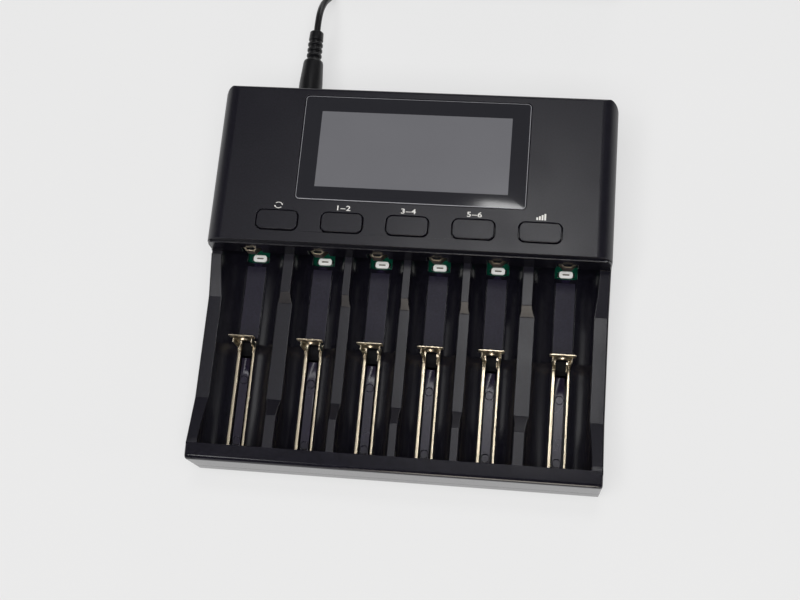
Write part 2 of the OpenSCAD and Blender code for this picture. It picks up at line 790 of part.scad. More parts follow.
module return_spring(i) {
    rings = spring_turns * spring_steps + 1;
    color(metal) translate([bay_x[i], 0, spring_z]) polyhedron(
        points = [for (k = [0 : rings - 1]) each helix_ring(k)],
        faces = tube_faces(rings, spring_sides),
        convexity = 10
    );
}

module guide_rails(i) {
    color(metal) translate([bay_x[i], 0, 0]) {
        block([-left_rail_out, rail_front_y, rail_seat_z], [-rail_in, rail_rear_y, rail_z]);
        block([rail_in, rail_front_y, rail_seat_z], [right_rail_out, rail_rear_y, rail_z]);
    }
}

module key(i) {
    color(case_black) translate([key_x(i), key_mid_y, 0]) {
        along_z(key_flange_z + 0.5, head_z + key_rise) round_rect(key_w, key_l, key_r);
        along_z(key_flange_z, key_flange_z + 1.1) round_rect(key_w + 1.6, key_l + 1.2, key_r + 0.6);
    }
}

module key_switches() {
    color("#b9b9bc") for (i = [0 : key_count - 1]) translate([key_x(i), key_mid_y, control_top_z]) {
        linear_extrude(key_switch_z - control_top_z - 0.4) square([switch_w, switch_w], center = true);
        cylinder(h = key_switch_z - control_top_z, d = switch_stem_d);
    }
}

module power_socket() {
    color("#1d1c20") difference() {
        block(
            [-socket_x - socket_w / 2, socket_y - socket_l, board_top_z],
            [-socket_x + socket_w / 2, socket_y, board_top_z + socket_h]
        );
        translate([-socket_x, socket_y + 1, socket_axis_z]) rotate([90, 0, 0]) difference() {
            cylinder(h = sleeve_l + 2.5, d = sleeve_d + 0.6);
            translate([0, 0, 2.4]) cylinder(h = sleeve_l, d = 2);
        }
    }
}

module rubber_feet() {
    color("#232326") for (p = foot_spots)
        translate([p.x, p.y, 0]) cylinder(h = foot_recess + foot_drop, d = foot_d);
}

module case_screws() {
    color("#8e8f93") for (p = screw_spots) translate([p.x, p.y, 0]) {
        translate([0, 0, screw_seat_z]) cylinder(h = screw_tip_z - screw_seat_z, d = screw_d);
        translate([0, 0, screw_seat_z - 1.8]) difference() {
            cylinder(h = 1.8, d = screw_head_d);
            for (a = [0, 90]) rotate([0, 0, a]) translate([-1.5, -0.4, -1]) cube([3, 0.8, 2]);
        }
    }
}

// Revolves a profile of radius and distance around the plug's axis
module turned(points) {
    translate([-socket_x, 0, socket_axis_z]) rotate([-90, 0, 0]) rotate_extrude() polygon(points);
}

module plug_grip() {
    r = grip_d / 2;
    end = grip_y + grip_l;
    rib_r = 3.35;
    rib_l = 1.35;
    ribs = [
        for (k = [0 : 2]) let (y = end + 1.6 + k * 2 * rib_l)
            each [[rib_r, y], [rib_r, y + rib_l], [rib_r - 0.75, y + rib_l], [rib_r - 0.75, y + 2 * rib_l]]
    ];
    last = end + 1.6 + 6 * rib_l;
    lead_start_y = lead_start.y;
    color(case_black) turned(concat(
        [[0, grip_y], [r - 0.4, grip_y], [r, grip_y + 0.4], [r, grip_y + 14], [r - 0.75, end - 1.6],
            [r - 1.1, end - 0.6], [r - 1.9, end], [rib_r - 0.5, end]],
        ribs,
        [[rib_r - 0.1, last], [rib_r - 0.25, lead_start_y], [0, lead_start_y]]
    ));
}

module plug_sleeve() {
    color(metal) translate([-socket_x, grip_y, socket_axis_z]) rotate([90, 0, 0]) difference() {
        cylinder(h = sleeve_l, d = sleeve_d);
        translate([0, 0, -1]) cylinder(h = sleeve_l + 2, d = 2.6);
    }
}

// Sweeps a round tube along a route: each ring stands square to the way in and the way out
function way(p, k) = let (n = len(p), d = p[min(k + 1, n - 1)] - p[max(k - 1, 0)]) d / norm(d);
function side_of(d) = let (s = cross(d, [0, 0, 1])) s / norm(s);
function tube_ring(p, k, r, sides) =
    let (d = way(p, k), u = side_of(d), v = cross(u, d)) [
        for (j = [0 : sides - 1])
            let (b = 360 * j / sides) p[k] + r * (cos(b) * u + sin(b) * v)
    ];

// Points on a smooth curve through the route, two for each stretch
function bend(p, k, t) =
    let (
        n = len(p), a = p[max(k - 1, 0)], b = p[k], c = p[k + 1], d = p[min(k + 2, n - 1)]
    ) 0.5 * (2 * b + (c - a) * t + (2 * a - 5 * b + 4 * c - d) * t * t + (3 * b - a - 3 * c + d) * t * t * t);
function smooth(p) = [
    for (k = [0 : len(p) - 2], t = [0, 0.5]) bend(p, k, t), p[len(p) - 1]
];

module tube(route, r, sides) {
    p = smooth(route);
    polyhedron(
        points = [for (k = [0 : len(p) - 1]) each tube_ring(p, k, r, sides)],
        faces = tube_faces(len(p), sides),
        convexity = 6
    );
}

module lead() {
    color(case_black) {
        tube(lead_route, lead_d / 2, 8);
        tube(adapter_route, lead_d / 2, 8);
    }
}

module lead_coil() {
    color(case_black) translate([coil_x, coil_y, 0]) rotate_extrude()
        translate([coil_in, 0]) square([coil_out - coil_in, 2 * lead_d]);
}

module wall_adapter() {
    r = 4;
    exit = adapter_route[len(adapter_route) - 1];
    color(case_black) {
        intersection() {
            translate([adapter_x, adapter_y - adapter_w / 2, 0]) cube([adapter_l, adapter_w, adapter_h]);
            translate([adapter_x + adapter_l / 2, adapter_y, 0])
                linear_extrude(adapter_h) round_rect(adapter_l, adapter_w, r);
            translate([0, adapter_y + adapter_w / 2, adapter_h / 2]) rotate([90, 0, 0])
                linear_extrude(adapter_w) translate([adapter_x + adapter_l / 2, 0])
                    round_rect(adapter_l, adapter_h, 2.5);
        }
        translate([exit.x, exit.y, exit.z]) rotate([0, 90, 0])
            cylinder(h = adapter_x - exit.x + 1, r1 = lead_d / 2 + 0.6, r2 = lead_d / 2 + 2);
    }
}

module adapter_pins() {
    color(metal) for (s = [-1, 1])
        translate([adapter_x + adapter_l - 22 + s * pin_pitch / 2, adapter_y + adapter_w / 2, adapter_h / 2])
            translate([-0.75, 0, -pin_w / 2]) cube([1.5, pin_l, pin_w]);
}

base_cover();
bay_tray();
head_cover();
contact_panel();
display_window();
lcd_panel();
lcd_frame();
control_board();
charge_board();
bay_light(0);  // bay_light_1
bay_light(1);  // bay_light_2
bay_light(2);  // bay_light_3
bay_light(3);  // bay_light_4
bay_light(4);  // bay_light_5
bay_light(5);  // bay_light_6
fixed_contact(0);  // fixed_contact_1
fixed_contact(1);  // fixed_contact_2
fixed_contact(2);  // fixed_contact_3
fixed_contact(3);  // fixed_contact_4
fixed_contact(4);  // fixed_contact_5
fixed_contact(5);  // fixed_contact_6
sliding_contact(0);  // sliding_contact_1
sliding_contact(1);  // sliding_contact_2
sliding_contact(2);  // sliding_contact_3
sliding_contact(3);  // sliding_contact_4
sliding_contact(4);  // sliding_contact_5
sliding_contact(5);  // sliding_contact_6
carriage(0);  // carriage_1
carriage(1);  // carriage_2
carriage(2);  // carriage_3
carriage(3);  // carriage_4
carriage(4);  // carriage_5
carriage(5);  // carriage_6
return_spring(0);  // return_spring_1
return_spring(1);  // return_spring_2
return_spring(2);  // return_spring_3
return_spring(3);  // return_spring_4
return_spring(4);  // return_spring_5
return_spring(5);  // return_spring_6
guide_rails(0);  // guide_rails_1
guide_rails(1);  // guide_rails_2
guide_rails(2);  // guide_rails_3
guide_rails(3);  // guide_rails_4
guide_rails(4);  // guide_rails_5
guide_rails(5);  // guide_rails_6
key(0);  // key_1
key(1);  // key_2
key(2);  // key_3
key(3);  // key_4
key(4);  // key_5
key_switches();
power_socket();
rubber_feet();
case_screws();
plug_grip();
plug_sleeve();
lead();
lead_coil();
wall_adapter();
adapter_pins();
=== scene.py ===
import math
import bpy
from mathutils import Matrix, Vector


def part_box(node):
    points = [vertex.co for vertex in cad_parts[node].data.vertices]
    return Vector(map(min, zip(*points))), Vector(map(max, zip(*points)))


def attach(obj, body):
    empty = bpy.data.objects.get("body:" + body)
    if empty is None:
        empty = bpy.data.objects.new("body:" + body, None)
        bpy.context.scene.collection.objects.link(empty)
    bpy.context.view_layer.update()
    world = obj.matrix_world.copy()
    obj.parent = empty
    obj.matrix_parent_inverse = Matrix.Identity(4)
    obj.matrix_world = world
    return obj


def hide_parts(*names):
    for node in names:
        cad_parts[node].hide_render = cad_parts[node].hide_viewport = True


bl_info = {
    "name": "Battery charger",
    "version": (1, 0, 0),
    "blender": (4, 5, 0),
    "location": "View3D > Sidebar > Charger",
    "description": "Builds a six-bay battery charger around its packed frame",
    "category": "Add Mesh",
}

import bmesh
import bpy
from bpy.props import FloatProperty, FloatVectorProperty, PointerProperty
from mathutils import Matrix, Vector

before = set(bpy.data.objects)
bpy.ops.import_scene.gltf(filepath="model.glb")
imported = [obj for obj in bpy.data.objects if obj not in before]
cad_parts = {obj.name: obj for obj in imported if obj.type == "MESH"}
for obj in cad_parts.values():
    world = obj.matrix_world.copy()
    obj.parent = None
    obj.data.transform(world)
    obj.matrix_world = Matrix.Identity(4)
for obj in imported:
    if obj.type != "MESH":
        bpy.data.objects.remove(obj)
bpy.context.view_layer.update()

MM = 0.001
ROOT = "charger"

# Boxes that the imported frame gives, in metres
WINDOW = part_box("display_window")
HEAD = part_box("head_cover")
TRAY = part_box("bay_tray")

# Places on the shells, in millimetres.
# Outer faces of the side walls
HALF_WIDTH = 83
# Height at which the tray and the base meet
SEAM = 9.0
# Height above which lie only the tops of the walls, the dividers, the front bar and the head
TOPS = 20
# Height above which the tray has only the level parts of its tops
LEVEL_TOPS = 25.9
# From the rear: the foot of the head, the rear of the front bar and the start of the front corners
HEAD_FOOT = 7
BAR_REAR = -72.3
CORNERS = -77
# Distance from the middle beyond which lie only the front and the rear face
ENDS = 78.5
# Middles of the six bays and half the width of the tongues and strips on their floors
BAYS = (-65.2, -36.9, -12.3, 12.3, 36.9, 65.2)
HALF_TONGUE = 4.2
# Heights of the tongues and, above them, of the raised strips
TONGUES = (13, 15.0)
STRIPS = (15.0, 15.5)

# Edge round of the shells as a share of the round along the outside of the side walls
WIDE_SHARE = 0.24
# Side of the post that fills a front corner, and the round along the top of the front bar
POST = 5.2
BAR_ROUND = 1.9

# Sockets of a Mix node that mixes colours, where several have one name
MIX_SHARE, MIX_DARK, MIX_LIGHT, MIX_COLOUR = 0, 6, 7, 2


def edge_middle(edge):
    """Middle of a bmesh edge in millimetres."""
    return (edge.verts[0].co + edge.verts[1].co) / 2 / MM


def in_vents(edge):
    """Whether an edge lies in the field of air slots under the board."""
    middle = edge_middle(edge)
    return abs(middle.x) < 62 and middle.y > 20 and middle.z < 5


def on_outside(edge):
    """Whether an edge runs along the outside of a side wall's top or down a front corner."""
    middle = edge_middle(edge)
    along = (edge.verts[0].co - edge.verts[1].co) / MM
    lengthwise = abs(along.y) > 2 or middle.y < CORNERS
    on_top = middle.z > TOPS and middle.y < HEAD_FOOT and lengthwise
    on_corner = middle.y < -ENDS and abs(along.z) > 5
    return abs(middle.x) > HALF_WIDTH - 0.1 and (on_top or on_corner)


def on_slope_rim(edge):
    """Whether an edge of the rounded tray bounds a sloping top, or crosses a round where it bends."""
    middle = edge_middle(edge)
    along = edge.verts[0].co - edge.verts[1].co
    # The normals of slopes lie between these two, and no face of a round is as large
    slopes = (0.9 < face.normal.z < 0.99 and face.calc_area() > 20 * MM**2 for face in edge.link_faces)
    rim = abs(middle.x) < HALF_WIDTH - 1 and any(slopes)
    bend = math.radians(3) < edge.calc_face_angle(0) < math.radians(20)
    crosswise = abs(along.y) < 0.3 * along.length
    return middle.z > TOPS and (rim or (crosswise and bend))


def is_upright(edge):
    """Whether an edge of a block stands upright."""
    return abs((edge.verts[0].co - edge.verts[1].co).z) > 0.1 * MM


def lies_at(height):
    """A test for edges that lie level at a height in millimetres."""
    return lambda edge: all(abs(v.co.z - height * MM) < 1e-6 for v in edge.verts)


def linear(hex_colour):
    """Turns an sRGB hex colour into the linear values that Blender works with."""
    digits = hex_colour.lstrip("#")
    out = []
    for k in (0, 2, 4):
        c = int(digits[k:k + 2], 16) / 255
        out.append(c / 12.92 if c <= 0.04045 else ((c + 0.055) / 1.055) ** 2.4)
    return tuple(out)


# ---- sizes and colours that a user would change


class ChargerSizes(bpy.types.PropertyGroup):
    """Sizes of the details that the scene adds to the frame."""

    edge_round: FloatProperty(
        name="Edge round", description="Radius of the moulded edges of the shells",
        default=0.22 * MM, min=0.05 * MM, max=0.6 * MM, unit="LENGTH",
    )
    key_edge_round: FloatProperty(
        name="Key edge round", description="Radius around the top of a key",
        default=0.35 * MM, min=0.1 * MM, max=0.6 * MM, unit="LENGTH",
    )
    # The window's rim is painted a lighter grey, as a painted highlight
    rim: FloatProperty(
        name="Window rim", description="Width of the ground rim of the display window",
        default=0.32 * MM, min=0.1 * MM, max=0.5 * MM, unit="LENGTH",
    )
    label_height: FloatProperty(
        name="Label height", description="Height of the numbers above the keys",
        default=2.2 * MM, min=1.2 * MM, max=3 * MM, unit="LENGTH",
    )
    lead_diameter: FloatProperty(
        name="Lead diameter", description="Outer diameter of the lead",
        default=3.0 * MM, min=2.5 * MM, max=3.5 * MM, unit="LENGTH",
    )


class ChargerColours(bpy.types.PropertyGroup):
    """Colours of the finishes."""

    case: FloatVectorProperty(
        name="Case", description="Moulded plastic of the shells", subtype="COLOR",
        default=linear("#14131a"), min=0, max=1,
    )
    lcd: FloatVectorProperty(
        name="Display glass", description="Reflective glass of the unlit display", subtype="COLOR",
        default=linear("#66666a"), min=0, max=1,
    )
    plating: FloatVectorProperty(
        name="Contact plating", description="Plated metal of the contacts and rails", subtype="COLOR",
        default=linear("#efe3cb"), min=0, max=1,
    )
    board: FloatVectorProperty(
        name="Circuit board", description="Solder mask of the boards", subtype="COLOR",
        default=linear("#0c4a38"), min=0, max=1,
    )
    ink: FloatVectorProperty(
        name="Label ink", description="Printed numbers and marks", subtype="COLOR",
        default=linear("#e4e2dd"), min=0, max=1,
    )


class ChargerStage(bpy.types.PropertyGroup):
    """Floor and lamps."""

    backdrop: FloatVectorProperty(
        name="Backdrop", description="Colour of the floor and of the space behind", subtype="COLOR",
        default=linear("#e6e6e6"), min=0, max=1,
    )
    top_lamp: FloatProperty(
        name="Top lamp", description="Power of the small soft box above the right side", default=1.4,
        min=0, max=100, unit="POWER",
    )
    fill: FloatProperty(
        name="Fill", description="Power of the broad lamp that sets the level of the light", default=26.0,
        min=0, max=200, unit="POWER",
    )


# ---- helpers


def clear_selection():
    """Leaves edit mode and deselects everything."""
    if bpy.context.object and bpy.context.object.mode != "OBJECT":
        bpy.ops.object.mode_set(mode="OBJECT")
    bpy.ops.object.select_all(action="DESELECT")


def activate(piece):
    """Makes the piece the only selected object."""
    clear_selection()
    piece.select_set(True)
    bpy.context.view_layer.objects.active = piece


def set_place(piece):
    """Puts the piece's place into its mesh and its object at the origin."""
    activate(piece)
    bpy.ops.object.transform_apply(location=True, rotation=True, scale=True)
    return piece


def edit_all(piece):
    """Enters edit mode with everything selected."""
    activate(piece)
    bpy.ops.object.mode_set(mode="EDIT")
    bpy.ops.mesh.select_all(action="SELECT")


def pick(piece, kind, test):
    """Enters edit mode with only those vertices, edges or faces selected that pass the test."""
    activate(piece)
    bpy.ops.object.mode_set(mode="EDIT")
    bpy.ops.mesh.select_mode(type=kind)
    bpy.ops.mesh.select_all(action="DESELECT")
    mesh = bmesh.from_edit_mesh(piece.data)
    for element in {"VERT": mesh.verts, "EDGE": mesh.edges, "FACE": mesh.faces}[kind]:
        if test(element):
            element.select_set(True)
    bmesh.update_edit_mesh(piece.data)


def done():
    """Leaves edit mode."""
    bpy.ops.object.mode_set(mode="OBJECT")


def bevel_edges(piece, width, segments, test):
    """Rounds the edges that pass the test."""
    pick(piece, "EDGE", test)
    bpy.ops.mesh.bevel(offset=width, segments=segments, affect="EDGES")
    done()


def merge_flat(piece):
    """Merges the doubles of a mesh of loose triangles and joins up its flat faces."""
    edit_all(piece)
    bpy.ops.mesh.remove_doubles(threshold=0.002 * MM)
    bpy.ops.mesh.dissolve_limited(angle_limit=math.radians(0.6))
    done()


def block(name, low, high):
    """A block between two corners in millimetres, to be shaped further."""
    clear_selection()
    middle = [(a + b) / 2 * MM for a, b in zip(low, high)]
    bpy.ops.mesh.primitive_cube_add(size=1, location=middle)
    piece = bpy.context.object
    piece.name = name
    piece.scale = [(b - a) * MM for a, b in zip(low, high)]
    return set_place(piece)


def apply_modifier(piece, kind, **settings):
    """Adds a modifier with its settings and applies it."""
    activate(piece)
    bpy.ops.object.modifier_add(type=kind)
    modifier = piece.modifiers[-1]
    for key, value in settings.items():
        setattr(modifier, key, value)
    bpy.ops.object.modifier_apply(modifier=modifier.name)
    return piece


def mark_edges(piece, width, angle, spare=None, wide=None):
    """Weights the edges to round, and marks as sharp those with no room for it and the spared."""
    mesh = bmesh.new()
    mesh.from_mesh(piece.data)
    weight = mesh.edges.layers.float.new("bevel_weight_edge")
    limit = math.radians(angle)
    corner = {e for e in mesh.edges if len(e.link_faces) != 2 or e.calc_face_angle(0) > limit}
    narrow = {e for e in corner if spare and spare(e)}
    for face in mesh.faces:
        loops = list(face.loops)
        if any(loop.edge in corner for loop in loops):
            narrow |= narrow_edges(loops, corner, width)
    broad = {e for e in corner - narrow if wide and wide(e)}
    for edge in mesh.edges:
        share = 1.0 if edge in broad or not wide else WIDE_SHARE
        edge[weight] = share if edge in corner and edge not in narrow else 0.0
        edge.smooth = edge not in narrow
    mesh.to_mesh(piece.data)
    mesh.free()


def mark_creases(piece, test):
    """Marks as sharp the edges that pass the test."""
    mesh = bmesh.new()
    mesh.from_mesh(piece.data)
    for edge in mesh.edges:
        if test(edge):
            edge.smooth = False
    mesh.to_mesh(piece.data)
    mesh.free()


def narrow_edges(loops, corner, width):
    """Corner edges of one face whose rounds would run into those across a narrow strip of it."""
    # Room that one round and two facing rounds need, in widths of a round
    one, two = 1.1, 2.1
    # A strip is narrow where the way along the rim is this many times the gap
    detour = 1.8
    narrow = set()
    count = len(loops)
    points = [loop.vert.co for loop in loops]
    run = [0.0]
    for loop in loops:
        run.append(run[-1] + loop.edge.calc_length())
    for i, loop in enumerate(loops):
        start, along = points[i], points[(i + 1) % count] - points[i]
        if loop.edge not in corner or along.length_squared == 0:
            continue
        for j, point in enumerate(points):
            if j in (i, (i + 1) % count):
                continue
            t = max(0.0, min(1.0, (point - start).dot(along) / along.length_squared))
            gap = (point - start - along * t).length
            across = {loops[j].edge, loops[j - 1].edge} & corner
            path = (run[j] - run[i] - t * along.length) % run[-1]
            tight = gap < width * (two if across else one)
            if tight and min(path, run[-1] - path) > detour * gap + 1e-7:
                narrow |= across | {loop.edge}
    return narrow


def round_edges(piece, width, spare=None, wide=None, crease=None):
    """Rounds every edge sharper than 28 degrees, then shades flat faces flat and rounds smooth."""
    mark_edges(piece, width, 28, spare, wide)
    activate(piece)
    bpy.ops.object.shade_smooth(keep_sharp_edges=True)
    apply_modifier(
        piece, "BEVEL", width=width / WIDE_SHARE if wide else width, segments=4 if wide else 2,
        limit_method="WEIGHT", miter_outer="MITER_ARC", use_clamp_overlap=False,
    )
    if crease:
        mark_creases(piece, crease)
    return flat_normals(piece)


def flat_normals(piece):
    """Turns the normals of broad faces straight, so that only the rounds beside them curve the light."""
    return apply_modifier(piece, "WEIGHTED_NORMAL", mode="FACE_AREA", weight=50, keep_sharp=True)


def shade(piece, angle):
    """Smooth shading across all edges flatter than the angle."""
    activate(piece)
    bpy.ops.object.shade_smooth_by_angle(angle=math.radians(angle))
    return flat_normals(piece)


def part_faces(piece, place, normal, test):
    """Parts the faces that pass the test along a plane through a place in millimetres."""
    pick(piece, "FACE", test)
    bpy.ops.mesh.bisect(plane_co=[p * MM for p in place], plane_no=normal)
    done()


def cut(piece, tool, operation="DIFFERENCE"):
    """Cuts the tool out of the piece, or joins it on, and removes the tool."""
    apply_modifier(piece, "BOOLEAN", object=tool, operation=operation, solver="EXACT")
    bpy.data.objects.remove(tool)
    return piece


def join(name, pieces):
    """Joins the pieces into one."""
    activate(pieces[0])
    for piece in pieces[1:]:
        piece.select_set(True)
    bpy.ops.object.join()
    bpy.context.object.name = name
    return bpy.context.object


def copy_piece(piece, name, offset):
    """A copy with its own mesh, moved by the offset in millimetres."""
    twin = piece.copy()
    twin.data = piece.data.copy()
    twin.name = name
    bpy.context.scene.collection.objects.link(twin)
    twin.data.transform(Matrix.Translation(Vector(offset) * MM))
    return twin


def from_frame(node, name):
    """A merged copy of a frame node's mesh with its flat faces joined up."""
    twin = bpy.data.objects.new(name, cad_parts[node].data.copy())
    bpy.context.scene.collection.objects.link(twin)
    twin.data.materials.clear()
    merge_flat(twin)
    return twin


def finish_piece(piece, body, slot, *nodes):
    """Lets the piece ride on its body in place of the named nodes."""
    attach(piece, body)
    if nodes:
        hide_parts(*nodes)


def paint(piece, *materials):
    """Gives the piece its materials, in the order of its slots."""
    piece.data.materials.clear()
    for material in materials:
        piece.data.materials.append(material)


def paint_nodes(finishes):
    """Gives frame nodes that stay as they are the finishes that are named for them."""
    for node, finish in finishes.items():
        paint(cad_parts[node], finish_of(finish))


def paint_faces(piece, index, test):
    """Gives the faces that pass the test the material at that index."""
    for face in piece.data.polygons:
        if test(face.center / MM, face.normal):
            face.material_index = index


# ---- materials


def add_node(tree, kind, values=None, links=None, **settings):
    """Adds a shader node with its settings, its values by socket and its links by socket."""
    node = tree.nodes.new(kind)
    for key, value in settings.items():
        setattr(node, key, value)
    for key, value in (values or {}).items():
        node.inputs[key].default_value = value
    for key, source in (links or {}).items():
        tree.links.new(source, node.inputs[key])
    return node


def new_material(name):
    """An empty material and its tree."""
    material = bpy.data.materials.new(name)
    material.use_nodes = True
    material.node_tree.nodes.clear()
    return material, material.node_tree


def finish_of(name):
    """The finish of that name, built the first time that it is asked for."""
    if name not in bpy.data.materials:
        build, given = FINISHES[name]
        tree = new_material(name)[1]
        build(tree, add_node(tree, "ShaderNodeTexCoord").outputs["Object"], **given)
    return bpy.data.materials[name]


def colour4(value):
    """A colour with full cover, as the sockets of nodes take it."""
    return (value[0], value[1], value[2], 1.0)


def two_tones(first, *rest):
    """A dark and a light tone: two hex colours, or the two shares of a hex colour or a user's colour."""
    if len(rest) == 1:
        return linear(first), linear(rest[0])
    colour = linear(first) if first[0] == "#" else getattr(bpy.context.scene.charger_colours, first)
    return [[c * share for c in colour] for share in rest]


def surface(tree, values, links=None, tones=None, bump=None):
    """Ends a material with one principled shader.

    Tones are a dark colour, a light one and the output that goes between them. A bump is the output
    of its height, its strength and its depth in millimetres.
    """
    links = dict(links or {})
    if tones:
        dark, light, share = tones
        tone = add_node(
            tree, "ShaderNodeMix", {MIX_DARK: colour4(dark), MIX_LIGHT: colour4(light)},
            {MIX_SHARE: share}, data_type="RGBA",
        )
        links["Base Color"] = tone.outputs[MIX_COLOUR]
    if bump:
        height, strength, depth = bump
        relief = add_node(
            tree, "ShaderNodeBump", {"Strength": strength, "Distance": depth * MM}, {"Height": height}
        )
        links["Normal"] = relief.outputs["Normal"]
    shader = add_node(tree, "ShaderNodeBsdfPrincipled", values, links)
    add_node(tree, "ShaderNodeOutputMaterial", {}, {"Surface": shader.outputs["BSDF"]})


def seen_rays(tree):
    """One for the rays that are looked along: from the camera, off a gloss or through glass."""
    rays = add_node(tree, "ShaderNodeLightPath")
    seen = add_node(
        tree, "ShaderNodeMath", {}, {0: rays.outputs["Is Camera Ray"], 1: rays.outputs["Is Glossy Ray"]},
        operation="MAXIMUM",
    )
    return add_node(
        tree, "ShaderNodeMath", {}, {0: seen.outputs["Value"], 1: rays.outputs["Is Transmission Ray"]},
        operation="MAXIMUM",
    )


def moulded_abs(tree, place, roughness, grain, strength, tint=(1, 1, 1)):
    """Moulded ABS: black, with the fine even grain of a spark-eroded mould where it has one."""
    # Grain a little coarser than the real one, so that it shows
    pits = add_node(
        tree, "ShaderNodeTexNoise", {"Scale": 1 / (grain * MM), "Detail": 3.0, "Roughness": 0.6},
        {"Vector": place},
    )
    # Broad slight change of gloss from the flow of the plastic and from handling
    flow = add_node(
        tree, "ShaderNodeTexNoise", {"Scale": 1 / (22 * MM), "Detail": 4.0, "Roughness": 0.5},
        {"Vector": place},
    )
    gloss = add_node(
        tree, "ShaderNodeMapRange",
        {"From Min": 0.3, "From Max": 0.7, "To Min": roughness * 0.92, "To Max": roughness * 1.08},
        {"Value": flow.outputs["Fac"]},
    )
    speck = add_node(
        tree, "ShaderNodeMapRange", {"From Min": 0.3, "From Max": 0.7, "To Min": 0.0, "To Max": 1.0},
        {"Value": pits.outputs["Fac"]},
    )
    base = [c * t for c, t in zip(bpy.context.scene.charger_colours.case, tint)]
    surface(
        tree, {"IOR": 1.52}, {"Roughness": gloss.outputs["Result"]},
        tones=([c * 0.6 for c in base], [c * 1.4 for c in base], speck.outputs["Result"]),
        bump=(pits.outputs["Fac"], strength, 0.03),
    )


def clouded(tree, place, size, detail, values, tones=(), gloss=(), relief=()):
    """A finish that one cloudy pattern varies, where these are given, in tone, roughness and relief.

    The size of the pattern and the depth of the relief are in millimetres. The gloss is the lowest and
    the highest roughness, and the relief is its strength and its depth.
    """
    cloud = add_node(
        tree, "ShaderNodeTexNoise", {"Scale": 1 / (size * MM), "Detail": detail}, {"Vector": place}
    ).outputs["Fac"]
    links = {}
    if gloss:
        low, high = gloss
        spread = add_node(
            tree, "ShaderNodeMapRange", {"From Min": 0.3, "From Max": 0.7, "To Min": low, "To Max": high},
            {"Value": cloud},
        )
        links["Roughness"] = spread.outputs["Result"]
    surface(
        tree, values, links, tones=(*two_tones(*tones), cloud) if tones else None,
        bump=(cloud, *relief) if relief else None,
    )


def nickel_plating(tree, place, roughness):
    """Bright plating over stamped brass: a warm white metal with fine rolling lines."""
    stretch = add_node(tree, "ShaderNodeMapping", {"Scale": (1.0, 0.08, 1.0)}, {"Vector": place})
    # Rolling lines a tenth of a millimetre apart, drawn wider so that they show
    lines = add_node(
        tree, "ShaderNodeTexNoise", {"Scale": 1 / (0.3 * MM), "Detail": 3.0, "Roughness": 0.6},
        {"Vector": stretch.outputs["Vector"]},
    )
    # Tarnish in patches of a few millimetres
    patch = add_node(tree, "ShaderNodeTexNoise", {"Scale": 1 / (4 * MM), "Detail": 3.0}, {"Vector": place})
    gloss = add_node(
        tree, "ShaderNodeMapRange",
        {"From Min": 0.35, "From Max": 0.7, "To Min": roughness - 0.02, "To Max": roughness + 0.03},
        {"Value": patch.outputs["Fac"]},
    )
    base = bpy.context.scene.charger_colours.plating
    surface(
        tree, {"Metallic": 1.0}, {"Roughness": gloss.outputs["Result"]},
        tones=(base, [base[0] * 0.96, base[1] * 0.92, base[2] * 0.86], patch.outputs["Fac"]),
        bump=(lines.outputs["Fac"], 0.012, 0.01),
    )


def solder_mask(tree, place):
    """Glass-fibre board under green solder mask: a glossy coat over a faint weave."""
    # Weave of the glass cloth, half a millimetre from thread to thread
    warp, weft = (
        add_node(
            tree, "ShaderNodeTexWave", {"Scale": 1 / (0.5 * MM) / 20, "Distortion": 0.4},
            {"Vector": place}, bands_direction=axis,
        )
        for axis in "XY"
    )
    weave = add_node(
        tree, "ShaderNodeMath", {}, {0: warp.outputs["Fac"], 1: weft.outputs["Fac"]}, operation="MAXIMUM"
    )
    surface(
        tree, {"Roughness": 0.25, "IOR": 1.5, "Coat Weight": 0.4, "Coat Roughness": 0.1},
        tones=(*two_tones("board", 0.85, 1.1), weave.outputs["Value"]),
        bump=(weave.outputs["Value"], 0.08, 0.02),
    )


